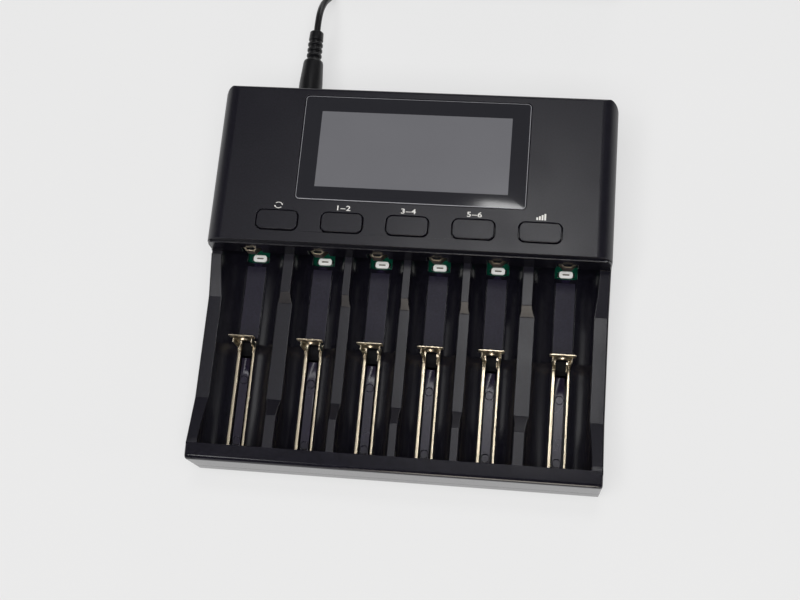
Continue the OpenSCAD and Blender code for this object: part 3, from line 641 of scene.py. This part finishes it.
# The function that builds each finish, and what it is given. Sizes and depths are in millimetres
FINISHES = {
    # Matt black ABS of the shells, from a spark-eroded mould
    "moulded_abs_spark_grain": (moulded_abs, dict(roughness=0.36, grain=0.75, strength=0.5)),
    # The same where the mould is polished: the front bar and the upright outer faces
    "moulded_abs_polished": (moulded_abs, dict(roughness=0.17, grain=1.4, strength=0.03)),
    # Satin, with a slight violet cast: the tongues between the rails
    "moulded_abs_satin": (
        moulded_abs, dict(roughness=0.27, grain=1.4, strength=0.04, tint=(1.25, 1.0, 1.6))
    ),
    # Dull, from a coarser part of the mould: the raised strips
    "moulded_abs_dull": (moulded_abs, dict(roughness=0.52, grain=0.6, strength=0.4, tint=(1.5, 1.4, 1.7))),
    # Smoother, and darker as painted shade: the round sides of the troughs and the contact panel
    "moulded_abs_trough": (
        moulded_abs, dict(roughness=0.25, grain=1.4, strength=0.04, tint=(0.6, 0.6, 0.62))
    ),
    # Dull black acetal of the carriages, which lie in shadow under the troughs
    "black_acetal": (clouded, dict(
        size=0.8, detail=3.0, values={"Roughness": 0.62, "IOR": 1.48, "Specular IOR Level": 0.3},
        tones=("#08080a", "#0e0e10"), relief=(0.2, 0.02),
    )),
    # Acrylic printed black from behind: a deep clear gloss with the faint waviness of a cast sheet
    "printed_acrylic": (clouded, dict(
        size=14, detail=2.0, relief=(0.03, 0.2),
        values={"Base Color": colour4(linear("#26262a")), "Roughness": 0.07, "IOR": 1.49},
    )),
    # Unlit reflective display behind clear acrylic: an even grey with the faintest clouding
    "reflective_lcd": (clouded, dict(
        size=18, detail=3.0, values={"Roughness": 0.1, "IOR": 1.49}, tones=("lcd", 0.96, 1.04)
    )),
    # Rim of the acrylic window, matt and painted lighter: a painted highlight
    "ground_acrylic_edge": (clouded, dict(
        size=0.4, detail=3.0, relief=(0.2, 0.01),
        values={"Base Color": colour4(linear("#8a8a8e")), "Roughness": 0.3, "IOR": 1.49},
    )),
    # Bright plating of the contacts and, a little duller, of the rails
    "nickel_plated_brass": (nickel_plating, dict(roughness=0.3)),
    "nickel_plated_rail": (nickel_plating, dict(roughness=0.33)),
    # Drawn steel of springs, screws, sleeve and pins: grey, bright and faintly lined
    "drawn_spring_steel": (clouded, dict(
        size=0.35, detail=4.0, values={"Base Color": colour4(linear("#b9b8b5")), "Metallic": 1.0},
        gloss=(0.2, 0.36), relief=(0.1, 0.01),
    )),
    "fr4_solder_mask": (solder_mask, {}),
    # White moulded body of a diode and of the display's frame, and the grey one of the switches
    "white_led_moulding": (clouded, dict(
        size=1.2, detail=2.0, values={"Roughness": 0.35, "IOR": 1.5}, tones=("#f7f7f3", 0.94, 1)
    )),
    "grey_switch_moulding": (clouded, dict(
        size=1.2, detail=2.0, values={"Roughness": 0.35, "IOR": 1.5}, tones=("#8f9094", 0.94, 1)
    )),
    # Clear resin over the chip of an unlit diode, faintly grey
    "led_silicone_resin": (clouded, dict(
        size=0.8, detail=2.0, values={"Roughness": 0.15, "IOR": 1.41}, tones=("#5d5a52", "#77736a")
    )),
    # Pad-printed white ink, thin enough for the grain to break it up a little
    "pad_printed_ink": (clouded, dict(
        size=0.25, detail=3.0, values={"Roughness": 0.6, "IOR": 1.5}, tones=("ink", 0.78, 1)
    )),
    # Soft PVC of the lead and its plug: black, satin, with a slight orange peel
    "soft_pvc": (clouded, dict(
        size=0.9, detail=3.0, values={"Base Color": colour4(linear("#0f0f11")), "IOR": 1.53},
        gloss=(0.36, 0.46), relief=(0.1, 0.03),
    )),
    # Silicone rubber of the feet: dull, soft, dust in its pores
    "silicone_rubber": (clouded, dict(
        size=0.4, detail=4.0, values={"Roughness": 0.8, "IOR": 1.43}, tones=("#202022", "#2c2c2e"),
        relief=(0.25, 0.03),
    )),
}


# ---- operators


class CHARGER_OT_lead(bpy.types.Operator):
    """The lead from its plug through the coil to the adapter."""

    bl_idname = "charger.lead"
    bl_label = "Lead"

    # The same line as the solid lead's, in millimetres: where it leaves the plug, and the heights of
    # the coil's two layers and its inner and outer radius
    start = Vector((-50.8, 116.6, 17.4))
    low, high = 1.5, 4.5
    inner, outer = 12, 24
    # Steps to the right and to the rear, from the plug to the middle of the coil and on to the adapter
    to_coil, to_adapter = (16.8, 60.5), (44, -5)
    # From the plug down to the floor: steps to the right and to the rear, and the share of height left
    down = [
        (0, 0, 1), (0, 5.5, 0.985), (0.1, 11, 0.91), (0.4, 16, 0.75), (0.9, 20.3, 0.535), (1.6, 23.9, 0.32),
        (2.6, 27.5, 0.145), (4.3, 31.1, 0.04), (7, 34.1, 0.006), (10.6, 35.9, 0), (14.8, 36.5, 0),
    ]
    # From the coil up to the adapter: steps from the adapter, and the share of height gained
    up = [
        (-29, -17.6, 0), (-24, -14.4, 0.086), (-20.6, -10, 0.295), (-18, -5.2, 0.562),
        (-15.4, -1.6, 0.81), (-11.8, -0.1, 0.971), (-8, 0, 1),
    ]
    # Height of the adapter's entry above the upper layer
    entry = 10.5

    def route(self):
        """Points along the lead, in millimetres."""
        start, low, high, inner = self.start, self.low, self.high, self.inner
        widen = self.outer - inner
        centre = Vector((start.x + self.to_coil[0], start.y + self.to_coil[1], 0))
        adapter = centre + Vector((*self.to_adapter, 0))

        def on_coil(degrees, radius, height):
            a = math.radians(degrees)
            return centre + Vector((radius * math.cos(a), radius * math.sin(a), height))

        points = [Vector((start.x + x, start.y + y, low + (start.z - low) * z)) for x, y, z in self.down]
        # Inwards on the floor, a climb at the inner turn, and outwards on top, in degrees and turns
        first, turns, climb, last = -90.0, 4.0, 60.0, -97.0 + 360 * 8
        steps, climb_steps = 16, 3
        climb_from = first + 360 * turns
        span = last - (climb_from + climb)
        for k in range(1, int(turns * steps) + 1):
            t = k / (turns * steps)
            points.append(on_coil(first + 360 * turns * t, self.outer - widen * t, low))
        for k in range(1, climb_steps + 1):
            z = low + (high - low) * (0.5 - 0.5 * math.cos(math.pi * k / climb_steps))
            points.append(on_coil(climb_from + climb * k / climb_steps, inner, z))
        count = int(span / 360 * steps)
        for k in range(1, count + 1):
            t = k / count
            points.append(on_coil(climb_from + climb + span * t, inner + widen * t, high))
        points += [Vector((adapter.x + x, adapter.y + y, high + self.entry * z)) for x, y, z in self.up]
        return points

    @staticmethod
    def plug_profile():
        """Radius and distance of the plug's outline in millimetres: grip, three ribs and collar."""
        low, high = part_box("plug_grip")
        near, far = low.y / MM, high.y / MM
        grip, r = near + 25.8, 5.15
        profile = [
            (0.0, near), (r - 0.5, near), (r - 0.15, near + 0.15), (r, near + 0.5), (r, near + 14),
            (r - 0.72, grip - 1.7), (r - 0.95, grip - 0.8), (r - 1.5, grip - 0.2), (r - 2.0, grip),
        ]
        for k in range(3):
            rib = grip + 1.6 + k * 2.7
            profile += [
                (2.6, rib - 0.1), (3.05, rib), (3.3, rib + 0.25), (3.35, rib + 0.65), (3.3, rib + 1.1),
                (3.05, rib + 1.35), (2.6, rib + 1.45),
            ]
        return profile + [
            (2.6, grip + 9.6), (3.0, grip + 9.7), (3.2, grip + 10.0), (3.05, far - 0.35), (2.7, far),
            (1.5, far),
        ]

    def execute(self, context):
        sizes = context.scene.charger_sizes
        points = self.route()
        data = bpy.data.curves.new("lead_cable", "CURVE")
        data.dimensions = "3D"
        data.bevel_depth = sizes.lead_diameter / 2
        data.bevel_resolution = 5
        data.resolution_u = 6
        data.use_fill_caps = True
        spline = data.splines.new("BEZIER")
        spline.bezier_points.add(len(points) - 1)
        for spot, point in zip(spline.bezier_points, points):
            spot.co = point * MM
            spot.handle_left_type = spot.handle_right_type = "AUTO"
        cable = bpy.data.objects.new("lead_cable", data)
        context.scene.collection.objects.link(cable)
        data.materials.append(finish_of("soft_pvc"))
        finish_piece(cable, ROOT, "lead_cover", "lead", "lead_coil")

        plug = turned("plug_moulding", self.plug_profile(), Vector((self.start.x, 0, self.start.z)))
        shade(plug, 50)
        paint(plug, finish_of("soft_pvc"))
        finish_piece(plug, ROOT, "lead_cover", "plug_grip")
        return {"FINISHED"}


def turned(name, profile, centre):
    """A body turned from a profile about a line from front to rear through a place in millimetres."""
    clear_selection()
    mesh = bpy.data.meshes.new(name)
    piece = bpy.data.objects.new(name, mesh)
    bpy.context.scene.collection.objects.link(piece)
    verts = [(r * MM, 0, d * MM) for r, d in profile]
    mesh.from_pydata(verts, [(k, k + 1) for k in range(len(verts) - 1)], [])
    edit_all(piece)
    bpy.ops.mesh.spin(steps=64, angle=2 * math.pi, center=(0, 0, 0), axis=(0, 0, 1))
    bpy.ops.mesh.select_all(action="SELECT")
    bpy.ops.mesh.remove_doubles(threshold=0.001 * MM)
    bpy.ops.mesh.select_all(action="DESELECT")
    bpy.ops.mesh.select_mode(type="EDGE")
    bpy.ops.mesh.select_non_manifold(extend=False)
    bpy.ops.mesh.edge_face_add()
    bpy.ops.mesh.select_all(action="SELECT")
    bpy.ops.mesh.normals_make_consistent(inside=False)
    done()
    lay_down = Matrix.Rotation(math.radians(-90), 4, "X")
    piece.data.transform(Matrix.Translation(centre * MM) @ lay_down)
    return piece


class CHARGER_OT_shells(bpy.types.Operator):
    """The tray, the head, the contact panel and the base, with their moulded edges."""

    bl_idname = "charger.shells"
    bl_label = "Shells"

    # Finishes of the shells, and the places of the last four in each shell's slots
    finishes = ("spark_grain", "polished", "satin", "dull", "trough")
    # The last finish, darker, is painted shade in the troughs and on the contact panel
    polished, satin, dull, trough = 1, 2, 3, 4

    def execute(self, context):
        edge = context.scene.charger_sizes.edge_round
        finishes = [finish_of("moulded_abs_" + name) for name in self.finishes]
        for node, name in (
            ("bay_tray", "tray_moulding"), ("head_cover", "head_moulding"),
            ("contact_panel", "panel_moulding"), ("base_cover", "base_moulding"),
        ):
            piece = from_frame(node, name)
            if node == "bay_tray":
                self.square_corners(piece)
                # The top of the front bar is parted from those of the walls, for a finish of its own
                part_faces(piece, (0, BAR_REAR, 0), (0, 1, 0), self.is_level_top)
                round_edges(piece, edge, wide=on_outside, crease=on_slope_rim)
            elif node == "base_cover":
                self.square_corners(piece)
                round_edges(piece, edge, spare=in_vents, wide=on_outside)
            else:
                round_edges(piece, edge)
            paint(piece, *finishes)
            finish_piece(piece, ROOT, "case_black", node)
            if node == "contact_panel":
                # The contact panel takes the finish that is darkened as painted shade
                paint_faces(piece, self.trough, lambda centre, normal: True)
            else:
                self.part_finishes(piece)
        return {"FINISHED"}

    @staticmethod
    def is_level_top(face):
        """Whether a face is a level part of the tray's tops."""
        return face.normal.z > 0.9 and face.calc_center_median().z > LEVEL_TOPS * MM

    @staticmethod
    def square_corners(piece):
        """Fills the front corners of a shell, which keep only the small round that follows."""
        heights = [v.co.z / MM for v in piece.data.vertices]
        is_tray = max(heights) > TOPS
        low, high = (SEAM, max(heights)) if is_tray else (min(heights), SEAM)
        front = TRAY[0].y / MM
        for side in (-1, 1):
            x0, x1 = sorted((side * (HALF_WIDTH - POST), side * HALF_WIDTH))
            post = block("post", (x0, front, low), (x1, front + POST, high))
            if is_tray:
                bevel_edges(post, BAR_ROUND * MM, 8, lambda e: all(
                    v.co.y < (front + 0.1) * MM and v.co.z > (high - 0.1) * MM for v in e.verts
                ))
            cut(piece, post, "UNION")
        merge_flat(piece)

    def part_finishes(self, piece):
        """Gives the zones of other finish theirs: bar and upright faces, tongues, strips, and troughs, whose
        round sides are darkened as painted shade.
        """

        def outer(centre, normal):
            on_side = abs(centre.x) > HALF_WIDTH - 0.5 or abs(centre.y) > ENDS
            return (abs(normal.z) < 0.2 and on_side) or centre.y < BAR_REAR - 0.1

        def on_floor(heights):
            low, high = heights
            return lambda centre, normal: (
                normal.z > 0.9 and low < centre.z < high and centre.y > BAR_REAR - 0.2
                and any(abs(centre.x - middle) < HALF_TONGUE for middle in BAYS)
            )

        def round_side(centre, normal):
            inside = -72 < centre.y < 12 and 13 < centre.z < 26.2
            return inside and normal.z > 0.1 and abs(normal.x) > 0.12

        paint_faces(piece, self.polished, outer)
        paint_faces(piece, self.satin, on_floor(TONGUES))
        paint_faces(piece, self.dull, on_floor(STRIPS))
        # The round sides of the troughs take the finish that is darkened as painted shade
        paint_faces(piece, self.trough, round_side)


class CHARGER_OT_display(bpy.types.Operator):
    """The display window with its printed frame and the glass that shows through."""

    bl_idname = "charger.display"
    bl_label = "Display"

    # The printed opening in millimetres: half its width, its front edge and its rear edge
    half, front, rear = 39.7, 34.5, 68.2

    def execute(self, context):
        half, front, rear = self.half, self.front, self.rear
        low, high = (v / MM for v in WINDOW)
        pane = block("window_pane", low, high)
        # Round corners in plan, then a rim round the top, painted lighter as a painted highlight
        bevel_edges(pane, 1.6 * MM, 8, is_upright)
        bevel_edges(pane, context.scene.charger_sizes.rim, 2, lies_at(high.z))
        for place, normal in (
            ((-half, 0, 0), (1, 0, 0)), ((half, 0, 0), (1, 0, 0)),
            ((0, front, 0), (0, 1, 0)), ((0, rear, 0), (0, 1, 0)),
        ):
            part_faces(pane, place, normal, lambda face: True)
        shade(pane, 30)
        paint(pane, *(finish_of(n) for n in ("printed_acrylic", "reflective_lcd", "ground_acrylic_edge")))
        paint_faces(pane, 1, lambda c, n: n.z > 0.99 and abs(c.x) < half and front < c.y < rear)
        # The rim's sloping faces take the lighter grey of the painted highlight
        paint_faces(pane, 2, lambda c, n: 0.05 < n.z < 0.99)
        finish_piece(pane, ROOT, "window", "display_window")
        paint_nodes({"lcd_panel": "reflective_lcd"})
        return {"FINISHED"}


class CHARGER_OT_keys(bpy.types.Operator):
    """Five keys with rounded corners and a fine rounded rim."""

    bl_idname = "charger.keys"
    bl_label = "Keys"

    # Width and length of a key's cap, how far it starts above its node's foot, and its corners
    width, length = 16.8, 8.1
    foot, corner = 0.4, 2.4

    def execute(self, context):
        low, high = (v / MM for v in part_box("key_1"))
        middle = (low + high) / 2
        key = block(
            "key_cap_1", (middle.x - self.width / 2, middle.y - self.length / 2, low.z + self.foot),
            (middle.x + self.width / 2, middle.y + self.length / 2, high.z),
        )
        bevel_edges(key, self.corner * MM, 8, is_upright)
        bevel_edges(key, context.scene.charger_sizes.key_edge_round, 4, lies_at(high.z))
        # Flange below the roof, drawn out of the key's lower edge
        pick(key, "FACE", lambda f: f.normal.z < -0.9)
        bpy.ops.mesh.extrude_region_move(TRANSFORM_OT_translate={"value": (0, 0, -0.1 * MM)})
        bpy.ops.mesh.extrude_region_move(TRANSFORM_OT_translate={"value": (0, 0, -0.01 * MM)})
        bpy.ops.transform.resize(value=(1.095, 1.148, 1))
        bpy.ops.mesh.extrude_region_move(TRANSFORM_OT_translate={"value": (0, 0, -0.29 * MM)})
        done()
        shade(key, 35)
        paint(key, finish_of("moulded_abs_spark_grain"))
        step = (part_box("key_2")[0].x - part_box("key_1")[0].x) / MM
        caps = [key] + [copy_piece(key, f"key_cap_{k + 1}", (step * k, 0, 0)) for k in range(1, 5)]
        for k, cap in enumerate(caps, 1):
            finish_piece(cap, f"button_{k}", "case_black", f"key_{k}")
        return {"FINISHED"}


class CHARGER_OT_labels(bpy.types.Operator):
    """Plain numbers over the middle keys and plain marks over the outer two."""

    bl_idname = "charger.labels"
    bl_label = "Labels"

    # Width of a key's flange beyond its cap, distance from cap to label and thickness of the ink
    flange, gap, ink = 0.6 * MM, 1.25 * MM, 0.02 * MM

    def execute(self, context):
        height = context.scene.charger_sizes.label_height
        top = HEAD[1].z + self.ink
        low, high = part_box("key_1")
        y = high.y - self.flange + self.gap
        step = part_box("key_2")[0].x - low.x
        first = (low.x + high.x) / 2
        for k, words in ((1, "1–2"), (2, "3–4"), (3, "5–6")):
            clear_selection()
            bpy.ops.object.text_add(location=(first + step * k, y, top))
            label = bpy.context.object
            label.data.body = words
            # A font's size is 1.38 times the height of its figures
            label.data.size = height * 1.38
            label.data.align_x = "CENTER"
            label.data.space_character = 1.1
            label.data.offset = 0.03 * MM
            label.data.extrude = self.ink / 2
            label.scale.x = 1.3
            bpy.ops.object.convert(target="MESH")
            self.print_on(set_place(bpy.context.object), k + 1)
        self.print_on(self.cycle_mark(Vector((first, y + height / 2, top)), height * 1.35), 1)
        self.print_on(self.level_mark(Vector((first + step * 4, y, top)), height * 1.25), 5)
        return {"FINISHED"}

    @staticmethod
    def print_on(label, number):
        """Finishes the label of the key with that number."""
        label.name = f"label_{number}"
        paint(label, finish_of("pad_printed_ink"))
        finish_piece(label, ROOT, "light_white")

    def cycle_mark(self, centre, height):
        """Two arrows that chase each other: the mark for stepping through functions."""
        # Middle radius and half the breadth of the line, and half the breadth and the length of a head
        radius, line = height * 0.42, 0.13 * MM
        head, point = 0.42 * MM, 0.6 * MM
        # Where an arrow starts and how far it reaches, in degrees, its steps and its stretch sideways
        start, reach, steps, stretch = 25, 115, 16, 1.25

        def spot_at(r, degrees):
            a = math.radians(degrees)
            return Vector((r * math.cos(a) * stretch, r * math.sin(a), 0))

        arrows = []
        for turn in (0, 180):
            clear_selection()
            data = bpy.data.curves.new("mark_arc", "CURVE")
            data.dimensions = "2D"
            data.fill_mode = "BOTH"
            data.extrude = self.ink / 2
            arc = [
                spot_at(r, turn + start + reach * s / steps)
                for r, order in ((radius + line, range(steps + 1)), (radius - line, range(steps, -1, -1)))
                for s in order
            ]
            a = math.radians(turn + start)
            tip = spot_at(radius, turn + start)
            side = Vector((math.cos(a), math.sin(a), 0)) * head
            along = Vector((math.sin(a), -math.cos(a), 0)) * point
            for outline in (arc, [tip + side, tip + along, tip - side]):
                spline = data.splines.new("POLY")
                spline.points.add(len(outline) - 1)
                for spot, p in zip(spline.points, outline):
                    spot.co = (*p, 1)
                spline.use_cyclic_u = True
            arrow = bpy.data.objects.new("mark_arc", data)
            bpy.context.scene.collection.objects.link(arrow)
            arrow.location = centre
            activate(arrow)
            bpy.ops.object.convert(target="MESH")
            arrows.append(set_place(bpy.context.object))
        return join("cycle_mark", arrows)

    @staticmethod
    def level_mark(foot, height):
        """Four rising bars: the mark for choosing more or less."""
        # Distance from bar to bar, half the breadth of one and its thickness, in millimetres
        pitch, half, thick = 1.05, 0.36, 0.02
        x, y, z = foot.x / MM, foot.y / MM, foot.z / MM
        bars = []
        for k in range(4):
            middle = x + (k - 1.5) * pitch
            tall = height / MM * (0.4 + 0.2 * k)
            bars.append(block(f"bar_{k}", (middle - half, y, z), (middle + half, y + tall, z + thick)))
        return join("level_mark", bars)


class CHARGER_OT_metal(bpy.types.Operator):
    """Fixed contacts, sliding contacts and rails in plated metal."""

    bl_idname = "charger.metal"
    bl_label = "Contacts and rails"

    def execute(self, context):
        for k in range(1, 7):
            for node, name, width, body, finish in (
                (f"fixed_contact_{k}", f"contact_strip_{k}", 0.12, ROOT, "nickel_plated_brass"),
                (f"sliding_contact_{k}", f"slider_plate_{k}", 0.12, f"slider_{k}", "nickel_plated_brass"),
                (f"guide_rails_{k}", f"rail_pair_{k}", 0.2, ROOT, "nickel_plated_rail"),
            ):
                piece = from_frame(node, name)
                round_edges(piece, width * MM)
                paint(piece, finish_of(finish))
                finish_piece(piece, body, "contact_metal", node)
            paint_nodes({f"carriage_{k}": "black_acetal", f"return_spring_{k}": "drawn_spring_steel"})
        return {"FINISHED"}


class CHARGER_OT_boards(bpy.types.Operator):
    """The boards and the diodes that show through the openings in the troughs."""

    bl_idname = "charger.boards"
    bl_label = "Boards and diodes"

    def execute(self, context):
        low, high = (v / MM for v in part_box("bay_light_1"))
        step = [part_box(f"bay_light_{k}")[0].x / MM - low.x for k in range(1, 7)]
        diode = self.diode(low, high)
        solder = self.solder(low, high)
        for k in range(6):
            piece = diode if k == 0 else copy_piece(diode, f"diode_{k + 1}", (step[k], 0, 0))
            finish_piece(piece, ROOT, "light_white", f"bay_light_{k + 1}")
            piece = solder if k == 0 else copy_piece(solder, f"solder_{k + 1}", (step[k], 0, 0))
            finish_piece(piece, ROOT, "spring_steel")
        paint_nodes({
            "charge_board": "fr4_solder_mask", "control_board": "fr4_solder_mask",
            "lcd_frame": "white_led_moulding", "key_switches": "grey_switch_moulding",
            "power_socket": "moulded_abs_polished",
        })
        return {"FINISHED"}

    @staticmethod
    def diode(low, high):
        """The first diode between its corners in millimetres, with a thin slot over the chip."""
        # Half the length and half the breadth of the slot, and its depth
        long, broad, deep = 1.45, 0.33, 0.2
        diode = block("diode_1", low, high)
        bevel_edges(diode, 1.1 * MM, 6, is_upright)
        bevel_edges(diode, 0.12 * MM, 2, lies_at(high.z))
        middle = (low + high) / 2
        slot = block(
            "slot", (middle.x - long, middle.y - broad, high.z - deep),
            (middle.x + long, middle.y + broad, high.z + 1),
        )
        bevel_edges(slot, 0.3 * MM, 4, is_upright)
        cut(diode, slot)
        shade(diode, 30)
        paint(diode, finish_of("white_led_moulding"), finish_of("led_silicone_resin"))
        paint_faces(diode, 1, lambda c, n: n.z > 0.99 and c.z < high.z - deep / 2)
        return diode

    @staticmethod
    def solder(low, high):
        """Solder at both ends of the first diode, which lies between two corners in millimetres."""
        # How far it stands out beyond the diode and reaches in, half its breadth and its height
        out, reach, half, tall = 0.75, 0.1, 1.05, 0.28
        middle = (low.y + high.y) / 2
        ends = []
        for x0, x1 in ((low.x - out, low.x + reach), (high.x - reach, high.x + out)):
            end = block("solder", (x0, middle - half, low.z), (x1, middle + half, low.z + tall))
            bevel_edges(end, 0.12 * MM, 3, lies_at(low.z + tall))
            ends.append(end)
        solder = shade(join("solder_1", ends), 40)
        paint(solder, finish_of("drawn_spring_steel"))
        return solder


class CHARGER_OT_underside(bpy.types.Operator):
    """Screws and feet below the base."""

    bl_idname = "charger.underside"
    bl_label = "Screws and feet"

    def execute(self, context):
        for node, finish, slot in (
            ("case_screws", "drawn_spring_steel", "spring_steel"),
            ("rubber_feet", "silicone_rubber", "foot_rubber"),
        ):
            piece = from_frame(node, node + "_rounded")
            round_edges(piece, 0.15 * MM)
            paint(piece, finish_of(finish))
            finish_piece(piece, ROOT, slot, node)
        return {"FINISHED"}


class CHARGER_OT_adapter(bpy.types.Operator):
    """The wall adapter at the far end of the lead."""

    bl_idname = "charger.adapter"
    bl_label = "Wall adapter"

    def execute(self, context):
        piece = from_frame("wall_adapter", "adapter_case")
        round_edges(piece, 0.4 * MM)
        paint(piece, finish_of("moulded_abs_spark_grain"))
        finish_piece(piece, ROOT, "case_black", "wall_adapter")
        paint_nodes({"adapter_pins": "drawn_spring_steel", "plug_sleeve": "drawn_spring_steel"})
        return {"FINISHED"}


class CHARGER_OT_stage(bpy.types.Operator):
    """Floor, lamps, surroundings and camera."""

    bl_idname = "charger.stage"
    bl_label = "Stage"

    def execute(self, context):
        scene = context.scene
        settings = scene.charger_stage
        scene.view_settings.view_transform = "Standard"
        self.camera(scene)
        self.floor(settings)
        self.surroundings(scene, settings)
        self.tent()
        self.lamps(settings)
        return {"FINISHED"}

    @staticmethod
    def camera(scene):
        """The camera at the photographed place, in metres and degrees."""
        data = bpy.data.cameras.new("photo_camera")
        data.sensor_fit = "HORIZONTAL"
        data.sensor_width = 36
        data.lens = 55.08
        data.clip_start, data.clip_end = 0.01, 20
        camera = bpy.data.objects.new("photo_camera", data)
        scene.collection.objects.link(camera)
        turn = Matrix.Identity(4)
        for degrees, axis in ((21.846, "Z"), (17.420, "X"), (-17.683, "Z")):
            turn = turn @ Matrix.Rotation(math.radians(degrees), 4, axis)
        camera.matrix_world = Matrix.Translation((0.053943, -0.147087, 0.503120)) @ turn
        scene.camera = camera

    @staticmethod
    def floor(settings):
        """A wide sheet of paper: its own shade for the camera, its shadow kept."""
        clear_selection()
        bpy.ops.mesh.primitive_plane_add(size=6)
        floor = bpy.context.object
        floor.name = "floor_paper"
        material, tree = new_material("studio_paper")
        share = add_node(
            tree, "ShaderNodeMath", {1: 0.7}, {0: seen_rays(tree).outputs["Value"]}, operation="MULTIPLY"
        )
        backdrop = colour4(settings.backdrop)
        paper = add_node(tree, "ShaderNodeBsdfDiffuse", {"Color": backdrop, "Roughness": 0.4})
        even = add_node(tree, "ShaderNodeEmission", {"Color": backdrop, "Strength": 1.0})
        mix = add_node(
            tree, "ShaderNodeMixShader", {},
            {0: share.outputs["Value"], 1: paper.outputs["BSDF"], 2: even.outputs["Emission"]},
        )
        add_node(tree, "ShaderNodeOutputMaterial", {}, {"Surface": mix.outputs["Shader"]})
        paint(floor, material)

    @staticmethod
    def surroundings(scene, settings):
        """Pale all round for the eye and in reflections, dimmer for the light that reaches the object."""
        world = bpy.data.worlds.new("studio_surroundings")
        scene.world = world
        world.use_nodes = True
        tree = world.node_tree
        tree.nodes.clear()
        dim = add_node(tree, "ShaderNodeBackground", {"Color": (1, 1, 1, 1), "Strength": 0.2})
        pale = add_node(
            tree, "ShaderNodeBackground", {"Color": colour4(settings.backdrop), "Strength": 1.0}
        )
        mix = add_node(
            tree, "ShaderNodeMixShader", {},
            {
                0: seen_rays(tree).outputs["Value"], 1: dim.outputs["Background"],
                2: pale.outputs["Background"],
            },
        )
        add_node(tree, "ShaderNodeOutputWorld", {}, {"Surface": mix.outputs["Shader"]})

    @staticmethod
    def tent():
        """Dark cloth above and, from a third of a metre up, on all sides, so that black gloss stays black."""
        clear_selection()
        bpy.ops.mesh.primitive_cube_add(size=1, location=(0, 0, 1.15))
        tent = bpy.context.object
        tent.name = "tent_cloth"
        tent.scale = (4.4, 4.4, 1.6)
        set_place(tent)
        pick(tent, "FACE", lambda f: f.normal.z < -0.9)
        bpy.ops.mesh.delete(type="FACE")
        bpy.ops.mesh.select_all(action="SELECT")
        bpy.ops.mesh.flip_normals()
        done()
        tent.visible_camera = False
        material, tree = new_material("dark_cloth")
        colour = colour4(linear("#4a4a4c"))
        cloth = add_node(tree, "ShaderNodeBsdfDiffuse", {"Color": colour, "Roughness": 0.8})
        add_node(tree, "ShaderNodeOutputMaterial", {}, {"Surface": cloth.outputs["BSDF"]})
        paint(tent, material)

    @staticmethod
    def lamps(settings):
        """Small soft boxes and a dim strip above, low lamps in front and behind, and a broad fill."""
        white, warm = (1, 1, 1), (1, 0.91, 0.78)
        # Name, place, aim and size in metres, watts, colour, and whether it shows in a gloss
        for name, place, aim, size, power, colour, glossy in (
            ("soft_box_top", (0.055, 0.30, 1.11), (0, 0.03, 0), (0.2, 0.2), settings.top_lamp, white, True),
            ("strip_top", (-0.15, 0.295, 1.31), (-0.15, 0.0, 0), (0.58, 0.2), 0.36, white, True),
            ("soft_box_front", (-0.38, -0.28, 1.15), (0, -0.05, 0), (0.2, 0.2), 1.1, white, True),
            ("low_lamp", (0.05, -1.1, 0.2), (0, 0, 0.02), (0.34, 0.3), 2.2, warm, True),
            ("low_lamp_rear", (0.3, 1.1, 0.36), (0, 0, 0.02), (0.5, 0.2), 1.4, white, True),
            ("soft_box_right", (1.1, -0.1, 0.45), (0, 0, 0), (0.4, 0.4), 1.0, white, True),
            ("soft_box_left", (-1.1, 0.1, 0.45), (0, 0, 0), (0.4, 0.4), 0.7, white, True),
            ("fill_above", (0, -0.45, 1.5), (0, 0, 0), (1.4, 1.2), settings.fill, white, False),
        ):
            data = bpy.data.lights.new(name, "AREA")
            data.shape = "RECTANGLE"
            data.size, data.size_y = size
            data.energy = power
            data.color = colour
            lamp = bpy.data.objects.new(name, data)
            bpy.context.scene.collection.objects.link(lamp)
            lamp.location = place
            lamp.rotation_euler = (Vector(aim) - Vector(place)).to_track_quat("-Z", "Y").to_euler()
            lamp.visible_glossy = glossy


class CHARGER_PT_panel(bpy.types.Panel):
    """Lists the sizes and colours, and the steps that build the charger."""

    bl_idname = "CHARGER_PT_panel"
    bl_label = "Charger"
    bl_space_type = "VIEW_3D"
    bl_region_type = "UI"
    bl_category = "Charger"

    def draw(self, context):
        for _, group_name in GROUPS:
            group = getattr(context.scene, group_name)
            box = self.layout.box()
            for name in group.bl_rna.properties.keys():
                if name not in ("name", "rna_type"):
                    box.prop(group, name)
        for operator in OPERATORS:
            self.layout.operator(operator.bl_idname)


GROUPS = (
    (ChargerSizes, "charger_sizes"), (ChargerColours, "charger_colours"), (ChargerStage, "charger_stage"),
)
OPERATORS = (
    CHARGER_OT_stage, CHARGER_OT_lead, CHARGER_OT_shells, CHARGER_OT_display, CHARGER_OT_keys,
    CHARGER_OT_labels, CHARGER_OT_metal, CHARGER_OT_boards, CHARGER_OT_underside, CHARGER_OT_adapter,
)


def register():
    for group, name in GROUPS:
        bpy.utils.register_class(group)
        setattr(bpy.types.Scene, name, PointerProperty(type=group))
    for operator in OPERATORS:
        bpy.utils.register_class(operator)
    bpy.utils.register_class(CHARGER_PT_panel)


def unregister():
    bpy.utils.unregister_class(CHARGER_PT_panel)
    for operator in reversed(OPERATORS):
        bpy.utils.unregister_class(operator)
    for group, name in reversed(GROUPS):
        delattr(bpy.types.Scene, name)
        bpy.utils.unregister_class(group)


def main():
    register()
    bpy.ops.charger.stage()
    bpy.ops.charger.lead()
    bpy.ops.charger.shells()
    bpy.ops.charger.display()
    bpy.ops.charger.keys()
    bpy.ops.charger.labels()
    bpy.ops.charger.metal()
    bpy.ops.charger.boards()
    bpy.ops.charger.underside()
    bpy.ops.charger.adapter()
    clear_selection()


if __name__ == "__main__":
    main()
